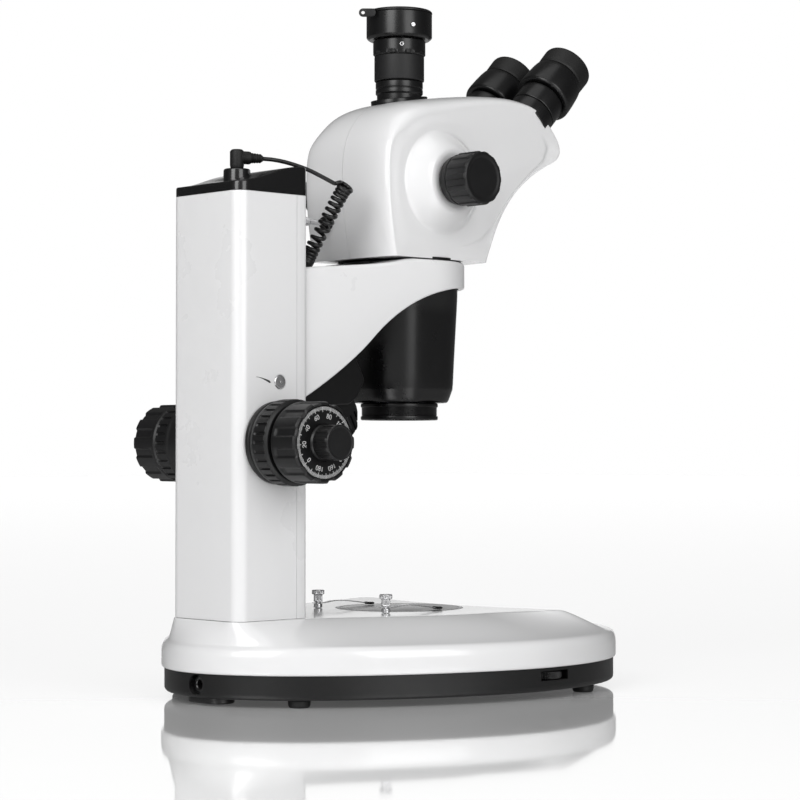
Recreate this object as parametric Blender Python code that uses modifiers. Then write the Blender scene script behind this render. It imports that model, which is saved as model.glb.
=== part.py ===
"""Trinocular stereo microscope on a pillar stand, as separate pieces.

The X axis runs to the user's right, the user sits on the -Y side, and Z is up from the bench.
Sizes are in millimetres and are turned into Blender's metres by MM. The stand's pieces are measured
from the optical axis, which stands OPTICAL_Y from the origin.
"""
import math

import bmesh
import bpy
from mathutils import Vector

MM = 0.001
GAP = 0.3                   # clearance between touching pieces
OPTICAL_Y = -17.0           # optical axis, from the middle of the whole footprint
SEGMENTS = 20               # sides of a large round piece
SMALL_SEGMENTS = 12         # sides of a small round piece

# Base
BASE_HALF_WIDTH = 149.0
BASE_REAR = 203.0
BASE_FRONT = -165.0
BASE_WIDEST_Y = -10.0
TRAY_BOTTOM = 5.5
TRAY_INSET = 3.0
HOUSING_BOTTOM = 22.5
SHOULDER_Z = 42.0
DECK_Z = 58.0
SHELL = 3.0
STAGE_RADIUS = 47.5
FOOT_PLACES = ((-64, 155), (64, 155), (-127, -64), (127, -64))
INLET_X = -7.0
INLET_Y = 180.0
INLET_Z = 14.5
DIMMER_X = 133.5
DIMMER_Y = -14.0
DIMMER_Z = 16.5
DIMMER_RADIUS = 13.5
CLIP_X = 37.0
CLIP_Y = 48.5

# Pillar
PILLAR_HALF = 37.5
PILLAR_FRONT = 124.0
PILLAR_BACK = 187.5
PILLAR_TOP = 354.7
COVER_DEPTH = 10.3
WALL = 4.0

# Focus drive
FOCUS_Y = 154.0
FOCUS_Z = 181.0
PINION_TEETH = 8
MODULE = 1.5
RACK_TEETH = 25
TEETH_BELOW = 8             # rack teeth under the one that meets the pinion at rest
CARRIAGE_BOTTOM = 140.0
CARRIAGE_TOP = 308.0

# Arm
ARM_BOTTOM = 296.6
ARM_TOP = 316.0
RING_RADIUS = 49.0
RING_BORE = 44.6

# Head
HEAD_BOTTOM = 318.5
HEAD_HALF = 46.0
HEAD_WALL = 2.5
ZOOM_Z = 373.5
HEAD_RING_POINTS = 24
TUBE_X = 29.0
TUBE_Y = -114.2
TUBE_Z = 437.4
TUBE_TILT = math.radians(45)
TUBE_PIVOT_X = 32.5         # each eyepiece swings about an axis just outside its own
TUBE_HOLE = 13.6
FLANGE_SLOPE = math.radians(-7.5)
FLANGE_Z = 438.9

# Lamp
LAMP_PIVOT_Y = 82.0
LAMP_PIVOT_Z = 222.0

# Lead
PLUG_Y = 158.0
PLUG_ARM_Z = 382.6
LEAD_RADIUS = 1.5
COIL_RADIUS = 5.8


# ---------------------------------------------------------------- scene set-up

def clear_scene():
    for item in list(bpy.data.objects):
        bpy.data.objects.remove(item, do_unlink=True)


def new_collection(name):
    group = bpy.data.collections.new(name)
    bpy.context.scene.collection.children.link(group)
    return group


clear_scene()
PARTS = new_collection("stereo_microscope")
CUTTERS = new_collection("cutters")


def material(name, color, roughness, metallic=0.0):
    paint = bpy.data.materials.new(name)
    paint.use_nodes = True
    shader = paint.node_tree.nodes["Principled BSDF"]
    shader.inputs["Base Color"].default_value = (*color, 1.0)
    shader.inputs["Roughness"].default_value = roughness
    shader.inputs["Metallic"].default_value = metallic
    return paint


WHITE = material("white_paint", (0.86, 0.86, 0.86), 0.25)
BLACK = material("black_satin", (0.02, 0.02, 0.02), 0.4)
TRAY_BLACK = material("tray_black", (0.015, 0.015, 0.015), 0.55)
RUBBER = material("black_rubber", (0.012, 0.012, 0.012), 0.8)
STEEL = material("turned_steel", (0.62, 0.62, 0.62), 0.25, 1.0)
ALUMINIUM = material("plain_aluminium", (0.7, 0.7, 0.71), 0.4, 1.0)
BRASS = material("brass", (0.72, 0.55, 0.25), 0.3, 1.0)
STAGE_GREY = material("stage_grey", (0.12, 0.12, 0.12), 0.35)
DIFFUSER = material("diffuser_white", (0.8, 0.8, 0.78), 0.6)
GLASS = material("lens_glass", (0.35, 0.4, 0.45), 0.05)


def scaled(point):
    return Vector(point) * MM


def place(item, paint, parent=None, at=(0, 0, 0), turn=(0, 0, 0), group=None):
    """Link an object, give it its material, its parent and its place under that parent."""
    (group or PARTS).objects.link(item)
    if paint is not None:
        item.data.materials.append(paint)
    item.parent = parent
    item.location = scaled(at)
    item.rotation_euler = turn
    return item


def pivot(name, at, parent=None, turn=(0, 0, 0)):
    """An empty on a joint's axis, which the moving pieces hang from."""
    marker = bpy.data.objects.new(name, None)
    marker.empty_display_size = 0.02
    return place(marker, None, parent, at, turn)


def smooth(item, angle=35):
    item.data.shade_smooth()
    item.data.set_sharp_from_angle(angle=math.radians(angle))
    return item


# ---------------------------------------------------------------- shapes

def arc(centre, radius, start, end, count):
    """Points along an arc, angles in degrees."""
    points = []
    for step in range(count + 1):
        angle = math.radians(start + (end - start) * step / count)
        points.append((centre[0] + radius * math.cos(angle), centre[1] + radius * math.sin(angle)))
    return points


def bezier(p0, p1, p2, p3, count):
    """Points along one cubic curve, both ends included."""
    points = []
    for step in range(count + 1):
        t = step / count
        s = 1 - t
        weights = (s ** 3, 3 * s * s * t, 3 * s * t * t, t ** 3)
        points.append(tuple(sum(w * p[k] for w, p in zip(weights, (p0, p1, p2, p3))) for k in (0, 1)))
    return points


def turned(name, profile, paint, segments=SEGMENTS, closed=False, **where):
    """A turned piece. The profile is (radius, height), down its outer side from top to bottom."""
    mesh = bpy.data.meshes.new(name)
    edges = [(i, i + 1) for i in range(len(profile) - 1)]
    if closed:
        edges.append((len(profile) - 1, 0))
    mesh.from_pydata([(r * MM, 0, z * MM) for r, z in profile], edges, [])
    item = place(bpy.data.objects.new(name, mesh), paint, **where)
    screw = item.modifiers.new("Turn", "SCREW")
    screw.steps = segments
    screw.render_steps = segments
    screw.use_merge_vertices = True
    screw.merge_threshold = 0.00001
    screw.use_smooth_shade = False
    return item


def evaluated_copy(item, name, paint, group=None):
    """Turn a curve into a mesh object in the same place, with its caps welded."""
    bpy.context.view_layer.update()
    graph = bpy.context.evaluated_depsgraph_get()
    mesh = bpy.data.meshes.new_from_object(item.evaluated_get(graph))
    mesh.name = name
    work = bmesh.new()
    work.from_mesh(mesh)
    bmesh.ops.remove_doubles(work, verts=work.verts, dist=0.000001)
    work.to_mesh(mesh)
    work.free()
    mesh.materials.clear()
    solid = place(bpy.data.objects.new(name, mesh), paint, group=group)
    solid.parent = item.parent
    solid.location = item.location
    solid.rotation_euler = item.rotation_euler
    bpy.data.objects.remove(item, do_unlink=True)
    solid.name = name
    return solid


def sheet(name, outline, thickness, paint, holes=(), group=None, **where):
    """A flat outline with a thickness, as a mesh. The outline lies in the object's own XY plane."""
    flat = bpy.data.curves.new(name, "CURVE")
    flat.dimensions = "2D"
    flat.fill_mode = "BOTH"
    flat.extrude = thickness / 2 * MM
    for loop in (outline, *holes):
        spline = flat.splines.new("POLY")
        spline.points.add(len(loop) - 1)
        for point, (x, y) in zip(spline.points, loop):
            point.co = (x * MM, y * MM, 0, 1)
        spline.use_cyclic_u = True
    drawn = place(bpy.data.objects.new(name + "_drawing", flat), None, **where)
    return evaluated_copy(drawn, name, paint, group)


# An outline drawn in (Y, Z) and thickened along X stands up with this turn.
SIDE_ON = (math.radians(90), 0, math.radians(90))
# A turned piece whose axis runs along +X or along -X.
ALONG_X = {1: (0, math.radians(90), 0), -1: (0, math.radians(-90), 0)}


def loft(name, rings, paint, cap_first=True, cap_last=True, **where):
    """Skin a list of point rings, with the same number of points in each."""
    work = bmesh.new()
    rows = [[work.verts.new(scaled(p)) for p in ring] for ring in rings]
    count = len(rings[0])
    for low, high in zip(rows, rows[1:]):
        for k in range(count):
            j = (k + 1) % count
            work.faces.new((low[k], low[j], high[j], high[k]))
    if cap_first:
        work.faces.new(list(reversed(rows[0])))
    if cap_last:
        work.faces.new(rows[-1])
    mesh = bpy.data.meshes.new(name)
    work.to_mesh(mesh)
    work.free()
    return place(bpy.data.objects.new(name, mesh), paint, **where)


def box(name, low, high, paint, group=None, **where):
    work = bmesh.new()
    bmesh.ops.create_cube(work, size=1.0)
    size = scaled(high) - scaled(low)
    middle = (scaled(high) + scaled(low)) / 2
    bmesh.ops.scale(work, vec=size, verts=work.verts)
    bmesh.ops.translate(work, vec=middle, verts=work.verts)
    mesh = bpy.data.meshes.new(name)
    work.to_mesh(mesh)
    work.free()
    return place(bpy.data.objects.new(name, mesh), paint, group=group, **where)


def rod(name, radius, length, paint, segments=SMALL_SEGMENTS, group=None, **where):
    """A plain cylinder that starts at its object's origin and runs along its own +Z."""
    work = bmesh.new()
    bmesh.ops.create_cone(
        work, cap_ends=True, segments=segments, radius1=radius * MM, radius2=radius * MM, depth=length * MM
    )
    bmesh.ops.translate(work, vec=(0, 0, length / 2 * MM), verts=work.verts)
    mesh = bpy.data.meshes.new(name)
    work.to_mesh(mesh)
    work.free()
    return place(bpy.data.objects.new(name, mesh), paint, group=group, **where)


def combine(item, tool, operation="DIFFERENCE"):
    """Cut a tool from an object, or join it on. The tool goes with the cutters."""
    if tool.name in PARTS.objects:
        PARTS.objects.unlink(tool)
        CUTTERS.objects.link(tool)
    tool.hide_render = True
    tool.display_type = "WIRE"
    change = item.modifiers.new(operation.title(), "BOOLEAN")
    change.operation = operation
    change.solver = "EXACT"
    change.object = tool
    return item


def cut(item, *tools):
    for tool in tools:
        combine(item, tool)
    return item


def solidify(item, thickness):
    skin = item.modifiers.new("Wall", "SOLIDIFY")
    skin.thickness = thickness * MM
    skin.offset = -1
    return item


# ---------------------------------------------------------------- pivots

STAND = pivot("stand_frame", (0, OPTICAL_Y, 0))
FOCUS_AXIS = pivot("focus_axis_pivot", (0, FOCUS_Y, FOCUS_Z), STAND)
FOCUS_SLIDE = pivot("focus_slide_pivot", (0, PILLAR_FRONT, ARM_BOTTOM), STAND)
ARM_FRAME = pivot("arm_frame", (0, -PILLAR_FRONT, -ARM_BOTTOM), FOCUS_SLIDE)
LAMP_AXIS = pivot("lamp_tilt_pivot", (0, LAMP_PIVOT_Y, LAMP_PIVOT_Z), ARM_FRAME)
HEAD_SWIVEL = pivot("head_swivel_pivot", (0, 0, HEAD_BOTTOM), ARM_FRAME)
HEAD_FRAME = pivot("head_frame", (0, 0, -HEAD_BOTTOM), HEAD_SWIVEL)
ZOOM_AXIS = pivot("zoom_axis_pivot", (0, 0, ZOOM_Z), HEAD_FRAME)


# ---------------------------------------------------------------- base

def egg_half(inset, count):
    """Right half of the base's outline, from the middle of the rear to the middle of the front."""
    width = BASE_HALF_WIDTH - inset
    rear = BASE_REAR - inset
    front = BASE_FRONT + inset
    side = BASE_WIDEST_Y
    half = count // 2
    back = bezier((0, rear), (81, rear), (width, side + 73), (width, side), half)
    fore = bezier((width, side), (width, side - 92), (90, front), (0, front), count - half)
    return back + fore[1:]


def mirrored(half):
    """A whole closed outline from its right half, running clockwise seen from above."""
    return half + [(-x, y) for x, y in reversed(half[1:-1])]


def deck_half(count):
    """Right half of the deck's edge: round the pillar's foot, out past the stage, across the front."""
    foot = 39.0
    corner = 13.0
    back = BASE_REAR - 14
    start = [(0, back), (foot - corner, back)] + arc((foot - corner, back - corner), corner, 60, 0, 2)
    flank = bezier((foot, 140), (50, 112), (86, 62), (88, 0), 8)
    nose = bezier((88, 0), (94, -35), (135, -70), (100, -66), 6)
    front = bezier((100, -66), (70, -58), (35, -46), (0, -46), 5)
    points = start + flank + nose[1:] + front[1:]
    return resampled(points, count)


def resampled(points, count):
    """The same line with evenly spaced points."""
    lengths = [0.0]
    for a, b in zip(points, points[1:]):
        lengths.append(lengths[-1] + math.dist(a, b))
    result = []
    for step in range(count + 1):
        target = lengths[-1] * step / count
        k = 0
        while k < len(points) - 2 and lengths[k + 1] < target:
            k += 1
        t = (target - lengths[k]) / (lengths[k + 1] - lengths[k])
        t = min(max(t, 0.0), 1.0)
        result.append(tuple(a + (b - a) * t for a, b in zip(points[k], points[k + 1])))
    return result


def at_height(outline, z):
    """An outline lifted to a height, turned round so that lofts going up face out."""
    return [(x, y, z) for x, y in reversed(outline)]


def build_base():
    count = 22
    rings = [
        at_height(mirrored(resampled(egg_half(0.8, count), count)), HOUSING_BOTTOM),
        at_height(mirrored(resampled(egg_half(0.0, count), count)), HOUSING_BOTTOM + 3),
        at_height(mirrored(resampled(egg_half(0.0, count), count)), SHOULDER_Z - 5),
        at_height(mirrored(resampled(egg_half(5.0, count), count)), SHOULDER_Z),
        at_height(mirrored(deck_half(count)), DECK_Z),
    ]
    housing = solidify(loft("base_housing", rings, WHITE, cap_first=False, parent=STAND), SHELL)
    cut(housing, rod("stage_hole", STAGE_RADIUS + GAP, 20, None, 36, at=(0, 0, 45), parent=STAND))
    for side in (-1, 1):
        hole = rod("clip_hole", 2.3, 20, None, 12, at=(side * CLIP_X, CLIP_Y, 48), parent=STAND)
        cut(housing, hole)
    smooth(housing)

    turned(
        "light_panel",
        [(0, 54.3), (51, 54.3), (51, 50), (0, 50)],
        DIFFUSER, parent=STAND,
    )
    turned(
        "stage_plate",
        [(0, 58.1), (STAGE_RADIUS - 0.6, 58.1), (STAGE_RADIUS, 57.5), (STAGE_RADIUS, 54.6), (0, 54.6)],
        STAGE_GREY, 36, parent=STAND,
    )


def build_tray():
    outline = mirrored(resampled(egg_half(TRAY_INSET, 22), 22))
    height = HOUSING_BOTTOM - GAP - TRAY_BOTTOM
    tray = sheet(
        "base_tray", outline, height, TRAY_BLACK, parent=STAND, at=(0, 0, TRAY_BOTTOM + height / 2)
    )
    pocket_outline = mirrored(resampled(egg_half(TRAY_INSET + SHELL, 22), 22))
    pocket = sheet(
        "tray_pocket", pocket_outline, height, None, parent=STAND, at=(0, 0, TRAY_BOTTOM + SHELL + height / 2)
    )
    cut(tray, pocket)
    rear = INLET_Y + 6
    lobe_outline = arc((INLET_X - 8, rear), 11, 90, 270, 5) + arc((INLET_X + 8, rear), 11, 270, 450, 5)
    lobe = sheet("inlet_lobe", lobe_outline, 15, None, parent=STAND, at=(0, 0, 9.0))
    combine(tray, lobe, "UNION")
    socket = pivot("inlet_axis", (INLET_X, INLET_Y, INLET_Z), STAND, (math.radians(-90), 0, 0))
    cut(tray, rod("inlet_recess", 7.0, 30, None, parent=socket))
    for side in (-1, 1):
        middle = pivot("dimmer_slot_middle", (side * (DIMMER_X + 4.5), DIMMER_Y, DIMMER_Z), STAND)
        slot = box("dimmer_slot", (-20, -14, -3.3), (20, 14, 3.3), None, parent=middle)
        cut(tray, slot)
    turned(
        "power_inlet",
        [(0, 16), (1, 16), (1, 6), (2.8, 6), (2.8, 17), (6.7, 17), (6.7, 3), (0, 3)],
        TRAY_BLACK, SMALL_SEGMENTS, parent=socket,
    )
    for number, (x, y) in enumerate(FOOT_PLACES, 1):
        turned(
            f"foot_{number}",
            [(0, TRAY_BOTTOM - GAP), (7.9, TRAY_BOTTOM - GAP), (7.2, 0.6), (6.6, 0), (0, 0)],
            RUBBER, SMALL_SEGMENTS, parent=STAND, at=(x, y, 0),
        )
    for side, word in ((-1, "left"), (1, "right")):
        wheel = pivot(f"dimmer_{word}_pivot", (side * DIMMER_X, DIMMER_Y, DIMMER_Z), STAND)
        turned(
            f"dimmer_wheel_{word}",
            [(0, 2.6), (DIMMER_RADIUS - 0.5, 2.6), (DIMMER_RADIUS, 2.1), (DIMMER_RADIUS, -2.1),
             (DIMMER_RADIUS - 0.5, -2.6), (0, -2.6)],
            BLACK, 24, parent=wheel,
        )


def build_clips():
    """A knurled post and a flat spring on each side of the stage, both swinging on the post's axis."""
    for side, word in ((-1, "left"), (1, "right")):
        post = pivot(f"clip_{word}_pivot", (side * CLIP_X, CLIP_Y, DECK_Z), STAND)
        turned(
            f"clip_post_{word}",
            [(0, 13.6), (4.2, 13.6), (4.7, 13.1), (4.7, 10.6), (3.3, 10.4), (3.3, 4.6), (2.0, 4.6), (2.0, 3.4),
             (3.3, 3.4), (3.3, 0.3), (2.0, 0.3), (2.0, -7), (0, -7)],
            STEEL, 12, parent=post,
        )
        band = [(4, 3.7), (-6, 3.7), (-22, 4.6), (-40, 2.4), (-52, 0.9), (-56, 1.6), (-56, 2.2), (-52, 1.5),
                (-40, 3.0), (-22, 5.2), (-6, 4.3), (4, 4.3)]
        spring = sheet(f"clip_spring_{word}", band, 3.8, STEEL, parent=post, turn=SIDE_ON)
        eye = rod("clip_eye", 2.3, 6, None, 12, parent=post, at=(0, 0, 1))
        cut(spring, eye)
        collar = sheet("clip_collar", circle(3.2, 12), 0.6, None, parent=post, at=(0, 0, 4.0))
        combine_before(spring, collar)


def circle(radius, count, centre=(0, 0)):
    return arc(centre, radius, 0, 360 * (count - 1) / count, count - 1)


def combine_before(item, tool):
    """Join a tool on before the object's other changes are worked out."""
    combine(item, tool, "UNION")
    item.modifiers.move(len(item.modifiers) - 1, 0)


# ---------------------------------------------------------------- pillar

def build_pillar():
    height = PILLAR_TOP - DECK_Z - GAP
    middle = DECK_Z + GAP + height / 2
    split = PILLAR_FRONT + COVER_DEPTH
    outer_r = 14
    inner_r = outer_r - WALL
    half = PILLAR_HALF
    back = PILLAR_BACK
    outline = [(half, split + GAP)] + arc((half - outer_r, back - outer_r), outer_r, 0, 90, 5)
    outline += arc((outer_r - half, back - outer_r), outer_r, 90, 180, 5) + [(-half, split + GAP)]
    outline += [(WALL - half, split + GAP)] + arc((outer_r - half, back - outer_r), inner_r, 180, 90, 5)
    outline += arc((half - outer_r, back - outer_r), inner_r, 90, 0, 5) + [(half - WALL, split + GAP)]
    column = sheet("pillar_column", outline, height, WHITE, parent=STAND, at=(0, 0, middle))
    bore = rod("shaft_bore", 6.4, 120, None, parent=STAND, at=(-60, FOCUS_Y, FOCUS_Z), turn=ALONG_X[1])
    seat = rod("plug_seat", 5.3, 3, None, parent=STAND, at=(-half + 1.5, 150, 223.3), turn=ALONG_X[-1])
    cut(column, bore, seat)
    smooth(column)
    turned(
        "side_plug", [(0, 1.6), (4.6, 1.6), (5.0, 1.2), (5.0, 0), (0, 0)],
        STEEL, SMALL_SEGMENTS, parent=STAND, at=(-half + 1.2, 150, 223.3), turn=ALONG_X[-1],
    )

    corner = 4
    front = [(half, split)] + [(-half, split)]
    front += arc((corner - half, PILLAR_FRONT + corner), corner, 180, 270, 3)
    front += arc((half - corner, PILLAR_FRONT + corner), corner, 270, 360, 3)
    cover = sheet("pillar_front_cover", front, height, WHITE, parent=STAND, at=(0, 0, middle))
    cut(cover, box("arm_slot", (-13, PILLAR_FRONT - 5, 138), (13, split + 5, 348), None, parent=STAND))
    smooth(cover)

    frame = [(-31, 64), (31, 64), (31, 350), (-31, 350)]
    window = [(-19, 68), (19, 68), (19, 346), (-19, 346)]
    sheet(
        "guide_frame", frame, 5.4, STEEL, [window], parent=STAND, at=(0, 139, 0), turn=(math.radians(90), 0, 0)
    )
    build_cap()


def build_cap():
    """Pillar cap: low at the back, rising on an S-curve to its front, with a round boss for the lamp socket."""
    low = PILLAR_TOP + GAP
    crest = bezier((PILLAR_BACK, low + 6.5), (165, low + 8), (152, low + 19), (PILLAR_FRONT + 6, low + 20), 8)
    side = [(PILLAR_FRONT, low), (PILLAR_BACK, low)] + crest + [(PILLAR_FRONT, low + 20)]
    cap = sheet("pillar_cap", side, 2 * PILLAR_HALF, BLACK, parent=STAND, turn=SIDE_ON)
    corner = 14
    plan = arc((PILLAR_HALF - corner, PILLAR_BACK - corner), corner, 0, 90, 5)
    plan += arc((corner - PILLAR_HALF, PILLAR_BACK - corner), corner, 90, 180, 5)
    plan += arc((4 - PILLAR_HALF, PILLAR_FRONT + 4), 4, 180, 270, 3)
    plan += arc((PILLAR_HALF - 4, PILLAR_FRONT + 4), 4, 270, 360, 3)
    combine(cap, sheet("cap_plan", plan, 60, None, parent=STAND, at=(0, 0, low + 20)), "INTERSECT")
    combine(cap, rod("socket_boss", 9.5, 14, None, parent=STAND, at=(0, PLUG_Y, low + 5)), "UNION")
    cut(cap, rod("socket_bore", 4.3, 10, None, parent=STAND, at=(0, PLUG_Y, low + 11)))
    smooth(cap)


# ---------------------------------------------------------------- focus drive

def gear_outline():
    """Pinion teeth as plain wedges, thinned for backlash. A gap faces the rack's middle tooth at rest."""
    pitch = PINION_TEETH * MODULE / 2
    step = 2 * math.pi / PINION_TEETH
    points = []
    for tooth in range(PINION_TEETH):
        middle = math.pi + (tooth + 0.5) * step
        flank = ((pitch - 1.75, 1.2), (pitch, 0.85), (pitch + 1.1, 0.35))
        points += [(radius, middle - half / radius) for radius, half in flank]
        points += [(radius, middle + half / radius) for radius, half in reversed(flank)]
    return [(r * math.cos(a), r * math.sin(a)) for r, a in points]


def rack_outline():
    """Rack teeth along Z, pointing back at the pinion, one of them level with the pinion's axis."""
    pitch_line = FOCUS_Y - PINION_TEETH * MODULE / 2
    pitch = math.pi * MODULE
    spine = pitch_line - 3.7
    root = pitch_line - 1.8
    tip = pitch_line + 1.1
    first = FOCUS_Z - TEETH_BELOW * pitch
    points = [(spine, first - pitch / 2)]
    for tooth in range(RACK_TEETH):
        z = first + tooth * pitch
        points += [(root, z - 1.4), (tip, z - 0.55), (tip, z + 0.55), (root, z + 1.4)]
    points += [(spine, first + (RACK_TEETH - 0.5) * pitch)]
    return points


def build_focus_drive():
    sheet("focus_rack", rack_outline(), 10, BRASS, parent=ARM_FRAME, turn=SIDE_ON)
    box("slide_carriage", (-18.6, 135, CARRIAGE_BOTTOM), (18.6, 144, CARRIAGE_TOP), ALUMINIUM,
        parent=ARM_FRAME)

    shaft = sheet("pinion_shaft", gear_outline(), 12, STEEL, parent=FOCUS_AXIS, turn=SIDE_ON)
    body = rod("shaft_body", 4.7, 122, None, parent=FOCUS_AXIS, at=(-61, 0, 0), turn=ALONG_X[1])
    combine(shaft, body, "UNION")
    cut(shaft, rod("shaft_hollow", 3.4, 140, None, parent=FOCUS_AXIS, at=(-70, 0, 0), turn=ALONG_X[1]))

    turned(
        "tension_collar",
        [(27.5, 43.4), (29, 42), (29, 39), (28, 37.8), (6.8, 37.8), (6.8, 43.4)],
        BLACK, closed=True, parent=FOCUS_AXIS, turn=ALONG_X[-1],
    )
    for side, word, inner in ((-1, "left", 43.7), (1, "right", 37.8)):
        turned(
            f"coarse_knob_{word}",
            [(28.5, 61.5), (30, 60), (30, 45.5), (29, 43.7), (28, inner), (5.1, inner), (5.1, 61.5)],
            BLACK, closed=True, parent=FOCUS_AXIS, turn=ALONG_X[side],
        )
    hub = [(0, 105), (11.6, 105), (12.3, 104.3), (12.3, 90)]
    turned(
        "fine_knob_left",
        hub + [(12.3, 87.5), (25.5, 87.5), (25.5, 89), (27.2, 89), (28, 88), (28, 65), (26.5, 63.2),
               (3.3, 63.2), (3.3, 77), (0, 77)],
        BLACK, parent=FOCUS_AXIS, turn=ALONG_X[-1],
    )
    turned(
        "fine_knob_right",
        hub + [(14, 89), (27.2, 89), (28, 88), (28, 65), (26.5, 63.2), (3.0, 63.2), (3.0, -76), (0, -76)],
        BLACK, parent=FOCUS_AXIS, turn=ALONG_X[1],
    )
    turned(
        "focus_dial", [(25.2, 89), (25.2, 87.8), (12.6, 87.8), (12.6, 89)],
        BLACK, closed=True, parent=FOCUS_AXIS, turn=ALONG_X[-1],
    )


def arm_heel():
    """The rear stretch of the arm's underside, down to the pillar. The lamp bracket follows it too."""
    return bezier((65, 256), (80, 241), (104, 224.5), (PILLAR_FRONT - GAP, 213), 6)


def build_arm():
    """Focus arm: the extruded side view, trimmed to its plan, with the head's ring bored through it."""
    top = [(PILLAR_FRONT - GAP, 305), (60, 310.5), (40, ARM_TOP - 2.5), (34, ARM_TOP)]
    nose = [(-RING_RADIUS - 2, ARM_TOP), (-RING_RADIUS - 2, ARM_BOTTOM)]
    swoop = bezier((-30, ARM_BOTTOM), (12, ARM_BOTTOM), (43, 278), (65, 256), 8)
    side = top + nose + swoop + arm_heel()[1:]
    arm = sheet("focus_arm", side, 2 * RING_RADIUS + 4, WHITE, parent=ARM_FRAME, turn=SIDE_ON)
    foot = 35.0
    lean = 7
    plan = arc((0, 0), RING_RADIUS, 180 - lean, 360 + lean, 22) + [(foot, 130), (-foot, 130)]
    plan_tool = sheet("arm_plan", plan, 160, None, parent=ARM_FRAME, at=(0, 0, 260))
    combine(arm, plan_tool, "INTERSECT")
    cut(arm, rod("ring_bore", RING_BORE, 140, None, 28, parent=ARM_FRAME, at=(0, 0, 200)))
    tongue = box("arm_tongue", (-11, 118, 222), (11, 134.7, 302), None, parent=ARM_FRAME)
    combine(arm, tongue, "UNION")
    screw_hole = rod("lock_screw_hole", 3.3, 20, None, parent=ARM_FRAME, at=(38, 0, 306.5), turn=ALONG_X[1])
    cut(arm, screw_hole)
    smooth(arm)
    turned(
        "head_lock_screw",
        [(0, 66), (7.4, 66), (8, 65.2), (8, 52.4), (7, 51.6), (3.0, 51.6), (3.0, 45.2), (0, 45.2)],
        BLACK, SMALL_SEGMENTS, parent=ARM_FRAME, at=(0, 0, 306.5), turn=ALONG_X[1],
    )


def build_lamp():
    bracket_side = [(67.5, 249.6), (55, 227), (62, 215), (70, 209), (106, 207), (118, 213.5)]
    bracket_side += [(y - 0.5, z - 0.8) for y, z in reversed(arm_heel()[1:-1])]
    bracket = sheet("lamp_bracket", bracket_side, 44, BLACK, parent=ARM_FRAME, turn=SIDE_ON)
    cut(bracket, box("lamp_fork", (-18.5, 40, 190), (18.5, 112, 236), None, parent=ARM_FRAME))
    smooth(bracket)
    body = arc((0, 0), 11.5, 60, 150, 3)
    body += [(-23, -14), (-24, -18), (-24, -30), (-16.4, -38), (12, -38), (20, -26)]
    lamp = sheet("lamp_housing", body, 36, BLACK, parent=LAMP_AXIS, turn=SIDE_ON)
    lens_axis = (math.radians(180 - 27), 0, 0)
    cut(lamp, rod("lens_seat", 10.3, 14, None, parent=LAMP_AXIS, at=(0, -9, -27), turn=lens_axis))
    smooth(lamp)
    turned(
        "lamp_lens", [(0, 5.2), (4.5, 4.6), (10, 2.6), (10, 0.4), (0, 0.4)],
        GLASS, SMALL_SEGMENTS, parent=LAMP_AXIS, at=(0, -9, -27), turn=lens_axis,
    )


# ---------------------------------------------------------------- head

def head_profile(count):
    """Side view of the head's middle: from the rear foot, over the top and the nose, to the front foot."""
    points = bezier((50, HEAD_BOTTOM), (57, 345), (59, 372), (57.5, 386), 6)
    points += bezier((57.5, 386), (56, 412), (40, 430.5), (14, 435.4), 6)[1:]
    points += bezier((14, 435.4), (-12, 440.4), (-55, 447.6), (-86, 446.6), 6)[1:]
    points += bezier((-86, 446.6), (-100, 445), (-118, 433.5), (-130, 418), 6)[1:]
    points += bezier((-130, 418), (-136, 408), (-132, 403), (-122, 399), 4)[1:]
    points += bezier((-122, 399), (-88, 382), (-66, 356), (-52, HEAD_BOTTOM), 8)[1:]
    return resampled(points, count)


def head_ring(x, inset, count):
    """One section of the head: the profile drawn in by an inset, with its foot kept level."""
    foot = [(-26, HEAD_BOTTOM), (0, HEAD_BOTTOM), (26, HEAD_BOTTOM)]
    ring = []
    for y, z in head_profile(count - 4) + foot:
        centre_z = min(z, ZOOM_Z)
        distance = math.hypot(y, z - centre_z)
        keep = 1 - inset / max(distance, 26)
        ring.append((x, y * keep, centre_z + (z - centre_z) * keep))
    return ring


def boss_ring(x, radius, inset, blend, count):
    """A section between the head's side wall and the round boss of the zoom knob."""
    ring = []
    for point in head_ring(x, inset, count):
        y, z = point[1], point[2] - ZOOM_Z
        distance = math.hypot(y, z)
        new = distance + (radius - distance) * blend
        ring.append((x, y / distance * new, ZOOM_Z + z / distance * new))
    return ring


def head_sections(count):
    sections = []
    for x in (0.15, 16, 30, 38, 43, 45.4):
        share = x / HEAD_HALF
        inset = 13 * (1 - (1 - share ** 3) ** (1 / 2.4))
        sections.append(head_ring(x, inset, count))
    sections.append(boss_ring(46.5, 37, 16, 0.45, count))
    sections.append(boss_ring(49, 33, 16, 0.9, count))
    sections.append(boss_ring(56, 26, 16, 1.0, count))
    sections.append(boss_ring(60, 23.5, 16, 1.0, count))
    return sections


def flange_outline(grow):
    """The camera port's oblong flange, seen along its own axis."""
    return arc((0, 5), 17.8 + grow, 0, 180, 8) + arc((0, -5), 17.8 + grow, 180, 360, 8)


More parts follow.
